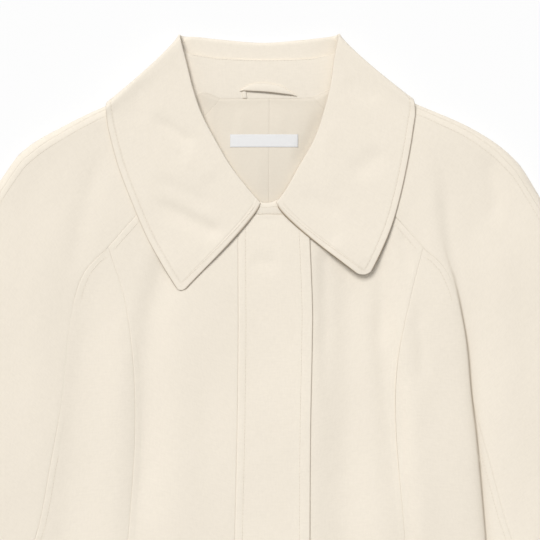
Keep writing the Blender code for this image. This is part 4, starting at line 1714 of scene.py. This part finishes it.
@dataclass
class Collar:
    """Collar leaf, stand and hanger loop."""

    lie: Lie
    room: Workroom
    wall: float = 1.2
    bend: float = 2.0
    least_bend: float = 0.9
    back_bend: float = 3.6
    rest_z: float = 14.6
    fold_draw: float = 0.4
    fold_radius: float = 8.9
    fold_pull: float = 0.8
    fold_sag: float = 2.6
    sag_power: float = 0.65
    fold_tuck: float = 16.0
    tuck_turns: tuple[float, float] = (50.0, 50.0)
    tuck_rise: float = 0.3
    tuck_power: float = 1.5
    edge_gap: float = 0.2
    fall_start: float = 0.12
    # Painted shade on the leaf, darker colour put where shade falls: along its edges (deeper at the points,
    # wider near the throat and on the right), along its stitch row, round its right roll and at the right
    # end of the strip.
    edge_shade: float = 0.42
    point_shade: float = 0.45
    point_reach: float = 48.0
    right_shade: float = 0.3
    right_shade_width: float = 0.1
    edge_shade_width: float = 0.6
    throat: tuple[float, float] = (-2.0, 57.0)
    throat_shade_width: float = 0.6
    throat_reach: float = 46.0
    stitch_shade: float = 0.075
    stitch_shade_width: float = 0.8
    stitch_start: float = 0.05
    roll_shade: float = 0.26
    roll_reach: float = 0.4
    strip_shade: float = 0.05
    strip_x: tuple[float, float] = (24.0, 26.0)
    strip_facing: float = 0.3
    neck_seam: float = 0.25
    crown: float = 0.5
    left_front: tuple[LeafRow, ...] = (
        LeafRow("throat", -8, 57, -76, -21, 16.5),
        LeafRow("point side", -20, 71, -91, 3, 16.8),
        LeafRow("lower chest", -34, 89.5, -105, 28.5),
        LeafRow("chest", -48, 113.5, -118, 59),
        LeafRow("upper chest", -58, 133, -129, 88),
        LeafRow("neck", -65.5, 154.7, -136.5, 116),
        LeafRow("neck side", -71, 177, -138.5, 128, 17),
    )
    right_front: tuple[LeafRow, ...] = (
        LeafRow("throat", 5, 57.5, 81.5, -9.8, 17.3),
        LeafRow("point side", 13, 68, 92, 10, 17.2),
        LeafRow("lower chest", 23.5, 86.5, 103, 36),
        LeafRow("chest", 37, 110.5, 111.5, 66),
        LeafRow("upper chest", 45, 133, 118.5, 100),
        LeafRow("neck", 51, 157, 122, 122),
        LeafRow("neck side", 54.5, 181, 123.5, 132, 17),
    )
    back: tuple[LeafRow, ...] = (
        LeafRow("left side", -62, 199.7, -122, 129, 0, 0, 180, 19.6),
        LeafRow("left", -42.5, 197.6, -66, 114, 0, 0, 180, 18.2),
        LeafRow("middle", -6, 194.8, -6.1, 110, 0, 0, 180, 16.8),
        LeafRow("right", 27, 197.2, 50, 114, 0, 0, 180, 18.4),
        LeafRow("right side", 46, 199.2, 107, 130, 0, 0, 180, 20),
    )
    left_fold: LeafRow = LeafRow("left fold", -77.6, 201.1, -139.8, 142.6)
    right_fold: LeafRow = LeafRow("right fold", 59.2, 201.9, 122.6, 145.6)
    fold_turns: tuple[float, ...] = (20.0, 45.0, 70.0, 90.0, 110.0, 135.0, 160.0)
    left_tip: float = 8.0
    right_tip: float = 13.0
    left_bulge: float = 3.2
    right_bulge: float = 4.2
    bulge_reach: float = 45.0
    stand: tuple[StandRow, ...] = (
        StandRow("tab end", 17, 47.4, 13.8, 17, 58.4, 13.8, 0),
        StandRow("tab", 5, 47.4, 13.8, 5, 57.6, 13.8, 0),
        StandRow("throat", -8, 47.4, 13.8, -8, 57.4, 13.8, 0),
        StandRow("left front", -26, 48.6, 13.2, -22, 67, 13.2, 0),
        StandRow("left chest", -49, 70.2, 13.2, -38, 88, 13.4, 0),
        StandRow("left raglan", -70.6, 92, 13.2, -53, 114, 13.4, 0),
        StandRow("left neck", -75.5, 128, 13.2, -67, 150, 13.2, 10),
        StandRow("left side", -79, 148, 13.2, -74, 178, 13.2, 35),
        StandRow("left fold", -81, 150, 10, -76, 186.4, 10, 90),
        StandRow("left turn", -73, 149.2, 10.2, -69, 184.8, 9.9, 150),
        StandRow("left back", -60, 148.2, 9.5, -57, 182.8, 9.2, 180),
        StandRow("left nape", -41, 146.7, 9.1, -43, 180.8, 8.8, 180),
        StandRow("nape", -4, 146.5, 9, -4, 179.5, 8.6, 180),
        StandRow("right nape", 36, 146.8, 9.1, 32, 180.5, 8.8, 180),
        StandRow("right back", 48, 148.2, 9.1, 44, 182.6, 8.8, 180),
        StandRow("right turn", 60, 149.4, 9.7, 53, 184.2, 9.5, 210),
        StandRow("right fold", 68, 151, 10, 58, 186.4, 10, 270),
        StandRow("right side", 67, 150, 13.2, 56.5, 178, 13.2, 325),
        StandRow("right neck", 66.5, 128, 13.2, 52, 150, 13.2, 350),
        StandRow("right raglan", 65.6, 89.6, 13.2, 42, 113, 13.4, 360),
        StandRow("right chest", 44, 77.8, 13.2, 29, 91, 13.4, 360),
        StandRow("right front", 18.6, 66, 13.2, 19, 75, 13.2, 360),
    )
    loop: tuple[LoopRow, ...] = (
        LoopRow("left end", -25.4, 152.2, -25.7, 153, 0.7, 0.7),
        LoopRow("left bend", -22, 152.5, -22.6, 155.2, 1.2, 1),
        LoopRow("left arch", -15.5, 152.2, -16.8, 158.2, 1.7, 1.2),
        LoopRow("crown", -3.4, 151.5, -6.5, 159.4, 2, 1.4),
        LoopRow("right arch", 9.4, 150.1, 8.6, 157.2, 1.8, 1.2),
        LoopRow("right bend", 16.5, 149.2, 15.8, 153, 1.3, 1),
        LoopRow("right end", 22.4, 148.3, 23, 149, 0.7, 0.7),
    )
    loop_leg: tuple[LoopRow, ...] = (
        LoopRow("foot", -19.6, 146.6, -23.4, 146.8, 0.3, 0.3),
        LoopRow("shin", -19.8, 149.4, -23.6, 149.6, 0.6, 0.5),
        LoopRow("top", -20.2, 153.6, -24, 153.8, 0.5, 0.4),
    )
    loop_wall: float = 1.0
    leg_share: float = 0.4
    stand_rows: tuple[StandStitch, ...] = (
        StandStitch("left turn", "right turn", 0.8, 0.0),
        StandStitch("tab end", "left front", 3.6, 1.2),
        StandStitch("tab end", "left front", -0.8, 1.2),
    )
    stitched_share: float = 0.36
    front_start: float = 0.03
    cuts: Array = field(init=False)
    spans: Array = field(init=False)
    reach: Array = field(init=False)
    stand_cuts: Array = field(init=False)

    def __post_init__(self) -> None:
        """Lays out the cuts across the leaf, from the left throat to the right one, and the stand."""
        left, right = ([self.rest(row) for row in front] for front in (self.left_front, self.right_front))
        left += self.fold_rows(self.left_fold, left[-1], self.back[0])
        right += self.fold_rows(self.right_fold, right[-1], self.back[-1])
        half = len(left) + len(self.back) // 2
        numbers = []
        for count, row in enumerate([*left, *self.back, *reversed(right)]):
            turn = math.radians(row.turn if count < half else -row.turn)
            numbers.append([*row[1:7], math.cos(turn), math.sin(turn), row.tuck])
        self.cuts = smooth(numbers, LEAF_CUTS)
        self.spans = np.hypot(*(self.cuts[:, 2:4] - self.cuts[:, :2]).T)
        self.reach = lengths(self.cuts[:, (2, 3, 5)])
        turns = [math.radians(row.turn) for row in self.stand]
        numbers = [[*row[1:7], math.cos(turn), math.sin(turn)] for row, turn in zip(self.stand, turns)]
        self.stand_cuts = smooth(numbers, STAND_CUTS)

    def rest(self, row: LeafRow) -> LeafRow:
        """The row with its outer edge laid on the front below it, or bridging a hollow of the front."""
        below = float(self.lie.heights(np.array([[row.edge_x, row.edge_y]], float), Layer.FRONT)[0])
        return row._replace(edge_z=max(below, self.lie.front_top) + self.edge_gap + self.wall)

    def fold_rows(self, fold: LeafRow, front: LeafRow, back: LeafRow) -> list[LeafRow]:
        """Cuts round the fold at one shoulder, from the front layer to the back layer.

        Args:
            fold: Where the fold lies in plan.
            front: Last row of the front layer.
            back: Nearest row of the back layer.

        Returns:
            The rows in between.
        """
        rows = []
        for turn in self.fold_turns:
            angle = math.radians(turn)
            pull = self.fold_radius * (1.0 - math.sin(angle))
            target = front if turn < FOLD_TURN else back
            ends = []
            for columns in (slice(1, 3), slice(3, 5)):
                here = np.array(fold[columns], float)
                way = np.array(target[columns], float) - here
                reach = np.linalg.norm(way)
                ends += list(here + way / reach * min(pull, self.fold_pull * reach))
            z = self.fold_radius * (1.0 + math.cos(angle))
            begin, over = self.tuck_turns
            tuck = FRONT_TUCK + self.fold_tuck * float(soft_step((turn - begin) / over))
            rows.append(LeafRow(fold.station, *ends, z, z, turn, tuck))
        return rows

    def leaf_surface(self, station: Array, place: Array) -> Array:
        """Points of the leaf's outside.

        Args:
            station: Fractional cuts.
            place: Place across each cut: -2 to -1 on the tuck, -1 to 0 round the roll, 0 to 1 on the fall.

        Returns:
            Points in millimetres.
        """
        rx, ry, ex, ey, rz, ez, cosine, sine, tuck = read_rows(self.cuts, station).T
        along = unit(np.column_stack([ex - rx, ey - ry, np.zeros(len(rx))]))
        normal = unit(np.column_stack([along[:, 1] * sine, -along[:, 0] * sine, cosine]))
        under = soft_step(-cosine)
        over = np.clip(0.5 * (rz - self.rest_z), self.least_bend, self.bend)
        bend = (over + (self.back_bend - over) * under)[:, None]
        drawn = along * (1.0 - self.fold_draw * np.abs(sine))[:, None]
        heart = np.column_stack([rx, ry, rz]) + (drawn - normal) * bend
        angle = np.clip(place + 1.0, 0.0, 1.0) * math.pi - 0.5 * math.pi
        ring = heart + (-along * np.cos(angle)[:, None] + normal * np.sin(angle)[:, None]) * bend
        depth = np.clip(-place - 1.0, 0.0, 1.0)
        tucked = along * (depth * np.maximum(tuck - bend[:, 0], 0.0))[:, None]
        tucked[:, 2] += self.tuck_rise * under * depth**self.tuck_power
        falling = np.clip(place, 0.0, 1.0)
        fall = (np.column_stack([ex, ey, ez]) - heart - normal * bend) * falling[:, None]
        points = ring + tucked + fall
        share = np.where(place < -1.0, depth * tuck / np.hypot(ex - rx, ey - ry), falling)
        hang = self.fold_sag * np.abs(sine) * np.sin(math.pi * share**self.sag_power)
        points[:, :2] += self.bulge(station, place) - normal[:, :2] * hang[:, None]
        wrinkled = faces_up(normal[:, 2]) * soft_step(place / self.fall_start)
        height = folded(LEAF_FOLDS, points[:, :2]) * wrinkled
        sewn = LEAF_EDGE.lift(self.edge_distance(points, station, place))
        return points + normal * (height + np.where(place > -0.5, sewn, 0.0))[:, None]

    def bulge(self, station: Array, place: Array) -> Array:
        """How far the front edges swell out below the throat, in plan.

        Args:
            station: Fractional cuts.
            place: Place across each cut.

        Returns:
            The plan vector to add at each point.
        """
        down = np.interp(station, np.arange(len(self.reach)), self.reach)
        share = np.clip(place, 0.0, 1.0)
        swell = np.sqrt(share) * (1.0 - share) ** SWELL_POWER / SWELL_PEAK
        total = np.zeros((len(station), 2))
        ends = ((self.cuts[0], down, self.left_bulge),
                (self.cuts[-1], self.reach[-1] - down, -self.right_bulge))
        for cut, near, most in ends:
            way = (cut[2:4] - cut[:2]) / np.linalg.norm(cut[2:4] - cut[:2])
            out = np.array([-way[1], way[0]])
            total += (most * swell * bell(near, self.bulge_reach))[:, None] * out
        return total

    def edge_distance(self, points: Array, station: Array, place: Array) -> Array:
        """Distance of points on the leaf from its outer edge or its front edges, whichever is nearer.

        Args:
            points: The points.
            station: Their fractional cuts.
            place: Their places across the cuts.

        Returns:
            The distance of each point.
        """
        nearer = np.interp(station, np.arange(len(self.spans)), self.spans) * (1.0 - place)
        share = np.linspace(0.0, 1.0, SWELL_POINTS)
        for end in (0, len(self.cuts) - 1):
            cut = self.cuts[end]
            swell = self.bulge(np.full(SWELL_POINTS, float(end)), share)
            line = cut[:2] + (cut[2:4] - cut[:2]) * share[:, None] + swell
            nearer = np.minimum(nearer, nearest(points[:, :2], line)[0])
        return nearer

    def leaf_grid(self) -> tuple[Array, Array]:
        """Grid over the leaf, with rounded points.

        Returns:
            Points in millimetres, and the painted shade at each of them.
        """
        steps, front = np.array(LEAF_STEPS), np.array(FRONT_STEPS)
        span, total = float(self.spans[WIDTH_CUT]), self.reach[-1]
        fall = 1.0 - steps[::-1] / span
        parts = ((-2.0, -1.0, TUCK_COLUMNS), (-1.0, 0.0, ROLL_COLUMNS), (0.0, fall[0], FALL_COLUMNS))
        across = np.concatenate([*(np.linspace(*part)[:-1] for part in parts), fall])
        middle = np.linspace(front[-1], total - front[-1], LEAF_ROWS)[1:-1]
        edge = np.concatenate([front, middle, (total - front)[::-1]])
        down, place = np.meshgrid(edge, across, indexing="ij")
        down, place = self.round_tip(down, place, self.left_tip, span)
        far, place = self.round_tip(total - down, place, self.right_tip, span)
        shape = place.shape
        down, place = (total - far).ravel(), place.ravel()
        station = np.interp(down, self.reach, np.arange(len(self.reach)))
        points = self.leaf_surface(station, place)
        return points.reshape(*shape, 3), self.leaf_shade(points, station, down, place).reshape(shape)

    def leaf_shade(self, points: Array, station: Array, down: Array, place: Array) -> Array:
        """Painted shade of the leaf: how much darker its colour is made along its edges, its stitch rows,
        its right roll and the right end of the strip, where shade falls.

        Args:
            points: Points of the leaf.
            station: Their fractional cuts.
            down: Their lengths along the outer edge.
            place: Their places across the cuts.

        Returns:
            The painted shade at each point, from 0 to 1.
        """
        near = self.edge_distance(points, station, place)
        right = station > 0.5 * len(self.reach)
        from_tip = np.minimum(down, self.reach[-1] - down)
        from_throat = np.linalg.norm(points[:, :2] - np.array(self.throat), axis=1)
        facing = np.interp(station, np.arange(len(self.cuts)), self.cuts[:, 6])
        depth = self.edge_shade + self.point_shade * bell(from_tip, self.point_reach, BLUNT)
        width = self.edge_shade_width + self.throat_shade_width * bell(from_throat, self.throat_reach, BLUNT)
        depth = depth + self.right_shade * right
        width = width + self.right_shade_width * right
        edge = depth * bell(near, width) * (place > 0.0)
        stitched = bell(near - LEAF_EDGE.stitch, self.stitch_shade_width) * (place > self.stitch_start)
        roll = soft_step(-place / self.roll_reach) * faces_up(facing) * right
        begin, over = self.strip_x
        strip = soft_step((points[:, 0] - begin) / over) * soft_step(-facing - self.strip_facing)
        return edge + self.stitch_shade * stitched + self.roll_shade * roll + self.strip_shade * strip

    @staticmethod
    def round_tip(near: Array, place: Array, radius: float, span: float) -> tuple[Array, Array]:
        """Moves the points at one corner of the leaf onto a rounded point.

        Args:
            near: Length along the outer edge from that corner.
            place: Place across the leaf.
            radius: Radius of the point.
            span: Width of the leaf.

        Returns:
            The moved lengths and places.
        """
        a = np.clip(1.0 - (1.0 - place) * span / radius, 0.0, 1.0)
        b = np.clip(1.0 - near / radius, 0.0, 1.0)
        both = (a > 0.0) & (b > 0.0)
        new_a = a * np.sqrt(1.0 - 0.5 * b * b)
        new_b = b * np.sqrt(1.0 - 0.5 * a * a)
        moved = np.where(both, (1.0 - new_b) * radius, near)
        return moved, np.where(both, 1.0 - (1.0 - new_a) * radius / span, place)

    def stand_surface(self, station: Array, across: Array) -> Array:
        """Points on the side of the stand that shows.

        Args:
            station: Fractional cuts.
            across: Distance from the upper edge; a negative one counts from the neckline edge.

        Returns:
            Points in millimetres.
        """
        cuts = read_rows(self.stand_cuts, station)
        neck, top, cosine, sine = cuts[:, :3], cuts[:, 3:6], cuts[:, 6], cuts[:, 7]
        width = np.linalg.norm(neck - top, axis=1)
        across = np.where(across < 0.0, width + across, across)
        form = EDGE_FORMS[Sewn.PLAIN]
        sewn = form.lift(across) + self.neck_seam * form.lift(width - across)
        run = unit(neck - top)
        normal = unit(np.column_stack([run[:, 1] * sine, -run[:, 0] * sine, np.abs(cosine)]))
        swell = self.crown * np.sin(np.clip(across / width, 0.0, 1.0) * math.pi)
        return top + run * across[:, None] + normal * (sewn + swell)[:, None]

    def stand_grid(self) -> Array:
        """Grid over the stand.

        Returns:
            Points in millimetres.
        """
        steps = np.array(EDGE_FORMS[Sewn.PLAIN].steps)
        stations = np.arange(len(self.stand_cuts), dtype=float)
        width = np.linalg.norm(self.stand_cuts[:, :3] - self.stand_cuts[:, 3:6], axis=1)
        scale = np.minimum(1.0, EDGE_SHARE * width / steps[-1])[:, None]
        begin, end = steps * scale, width[:, None] - steps[::-1] * scale
        share = np.linspace(0.0, 1.0, STAND_COLUMNS)[1:-1]
        across = np.concatenate([begin, begin[:, -1:] + (end[:, :1] - begin[:, -1:]) * share, end], axis=1)
        spots = self.stand_surface(np.repeat(stations, across.shape[1]), across.ravel())
        return spots.reshape(*across.shape, 3)

    def loop_grid(self, table: Sequence[LoopRow], count: int) -> Array:
        """Grid of points over one strip of the hanger loop.

        Args:
            table: Cuts of the strip.
            count: Number of lengths it is cut into.

        Returns:
            Points in millimetres.
        """
        base = min(row.neck_z for row in self.stand if row.turn == BACK_TURN)
        cuts = smooth([row[1:] for row in table], count)
        low = np.column_stack([cuts[:, :2], base + cuts[:, 4]])
        high = np.column_stack([cuts[:, 2:4], base + cuts[:, 5]])
        share = np.linspace(0.0, 1.0, LOOP_COLUMNS)
        grid = low[:, None] + (high - low)[:, None] * share[:, None]
        grid[..., 2] += self.crown * np.sin(share * math.pi)
        return grid

    def stand_stitches(self) -> list[StitchRow]:
        """Stitching along the stand seam at the nape and across the tab.

        Returns:
            The stitch rows.
        """
        picks = {}
        for row in self.stand:
            away = np.linalg.norm(self.stand_cuts[:, :6] - np.array(row[1:7], float), axis=1)
            picks[row.station] = float(np.argmin(away))
        rows = []
        for start, stop, inset, raised in self.stand_rows:
            station = np.linspace(picks[start], picks[stop], EDGE_PLACES)
            row = stitch_line(self.stand_surface, station, np.full(EDGE_PLACES, inset))
            rows.append(StitchRow(row.points + np.array([0.0, 0.0, raised]), row.normals))
        return rows

    def leaf_stitches(self) -> list[StitchRow]:
        """Stitching round the edge of the leaf.

        Returns:
            The stitch rows.
        """
        index = np.arange(len(self.cuts))
        inset, total = LEAF_EDGE.stitch, self.reach[-1]
        stitched = self.stitched_share * total
        rows = []
        for start, stop in ((inset, stitched), (total - stitched, total - inset)):
            station = np.interp(np.linspace(start, stop, EDGE_PLACES), self.reach, index)
            place = 1.0 - inset / np.interp(station, index, self.spans)
            rows.append(stitch_line(self.leaf_surface, station, place))
        for down in (inset, total - inset):
            station = np.full(FRONT_PLACES, np.interp(down, self.reach, index))
            place = np.linspace(self.front_start, 1.0 - inset / self.spans[0], FRONT_PLACES)
            rows.append(stitch_line(self.leaf_surface, station, place))
        return rows

    def build(self) -> None:
        """Builds the leaf, the stand, the hanger loop and their stitching."""
        room = self.room
        thread = room.stitch_object("collar", self.leaf_stitches() + self.stand_stitches())
        leaf, shade = self.leaf_grid()
        room.sew("collar_leaf", leaf, self.wall, LIT_DOUBLED_TWILL, (FLOOR, "front_left", "front_right"),
                 up=False, crease=shade, with_pieces=thread)
        room.sew("collar_stand", self.stand_grid(), self.wall, SHELL_TWILL,
                 ("back", "front_left", "front_right"))
        loop, leg = self.loop_grid(self.loop, LOOP_CUTS), self.loop_grid(self.loop_leg, LEG_CUTS)
        # Painted shade along the loop's lower edge, where the gap under the loop lies in shadow.
        low_edge = smooth([(row.low_x, row.low_y) for row in self.loop], LOOP_CUTS)
        slot = PaintedShadeLine(low_edge, depth=0.9, width=0.7, fade=(0.05, 0.1))
        end = room.sheet_object("hanger_loop_end", leg, self.leg_share * self.loop_wall, SHELL_TWILL)
        room.ride(end, SHELL_TWILL, "hanger_loop")
        room.sew("hanger_loop", loop, self.loop_wall, SHELL_TWILL, ("collar_stand",),
                 crease=slot.shade(loop), with_pieces=(end,))


@dataclass
class Studio:
    """Floor, soft light and the camera over the jacket."""

    target: Vector
    frame_width: float = 0.459
    lens: float = 90.0
    height_of_cloth: float = 0.014
    floor_size: float = 4.0
    floor_drop: float = 0.0003
    floor_grey: float = 0.25
    floor_glow: float = 0.705
    floor_roughness: float = 0.9
    surround: float = 0.285

    def build(self) -> None:
        """Builds the studio."""
        self.build_floor()
        self.build_camera()
        self.build_light()

    def build_floor(self) -> None:
        """Builds a plain pale floor."""
        mesh = bpy.data.meshes.new(FLOOR)
        bm = bmesh.new()
        bmesh.ops.create_grid(bm, x_segments=4, y_segments=4, size=self.floor_size,
                              matrix=Matrix.Translation((0.0, 0.0, -self.floor_drop)))
        bm.to_mesh(mesh)
        bm.free()
        material = bpy.data.materials.new("pale_floor")
        material.use_nodes = True
        grey = self.floor_grey
        set_inputs(material.node_tree, material.node_tree.nodes["Principled BSDF"], {
            "Base Color": (grey, grey, grey, 1.0),
            "Emission Color": (1.0, 1.0, 1.0, 1.0),
            "Emission Strength": self.floor_glow,
            "Roughness": self.floor_roughness,
        })
        mesh.materials.append(material)
        floor = bpy.data.objects.new(FLOOR, mesh)
        bpy.context.scene.collection.objects.link(floor)

    def build_camera(self) -> None:
        """Builds the camera, which looks straight down."""
        data = bpy.data.cameras.new("camera")
        data.lens = self.lens
        distance = self.frame_width * self.lens / data.sensor_width
        camera = bpy.data.objects.new("camera", data)
        camera.location = (self.target.x, self.target.y, self.height_of_cloth + distance)
        bpy.context.scene.collection.objects.link(camera)
        bpy.context.scene.camera = camera

    def build_light(self) -> None:
        """Builds a broad light overhead, a soft key from the upper left and an even surround."""
        world = bpy.data.worlds.new("surround")
        world.use_nodes = True
        back = world.node_tree.nodes["Background"]
        set_inputs(world.node_tree, back, {"Color": (1.0, 1.0, 1.0, 1.0), "Strength": self.surround})
        bpy.context.scene.world = world
        self.lamp("key", "SUN", (-0.32, 0.51, 0.80), energy=2.35, angle=math.radians(28.0))
        self.lamp("overhead", "AREA", (0.1, -0.1, 2.6), energy=13.5, size=2.2)
        bpy.context.scene.view_settings.view_transform = "Standard"

    def lamp(self, name: str, kind: str, offset: Colour, **settings: float) -> None:
        """Builds one light that points at the jacket.

        Args:
            name: Name of the light.
            kind: Type of the light.
            offset: Where it stands from the target.
            settings: Strength and size of the light.
        """
        data = bpy.data.lights.new(name, kind)
        for key, value in settings.items():
            setattr(data, key, value)
        lamp = bpy.data.objects.new(name, data)
        lamp.location = self.target + Vector(offset)
        lamp.rotation_euler = (-Vector(offset)).to_track_quat("-Z", "Y").to_euler()
        bpy.context.scene.collection.objects.link(lamp)


def main() -> None:
    """Builds the jacket on its frame, then the studio."""
    logging.basicConfig(level=logging.INFO, format="%(message)s")
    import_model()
    plan = SeamPlan()
    lie = Lie(plan)
    room = Workroom(np.array(PART_CENTRE))
    BackAndLining(plan, lie, room).build()
    Sleeves(plan, lie, room).build()
    Fronts(plan, lie, room).build()
    Collar(lie, room).build()
    Studio(Vector((0.0, -PART_CENTRE[1] * MM, 0.0))).build()


if __name__ == "__main__":
    main()
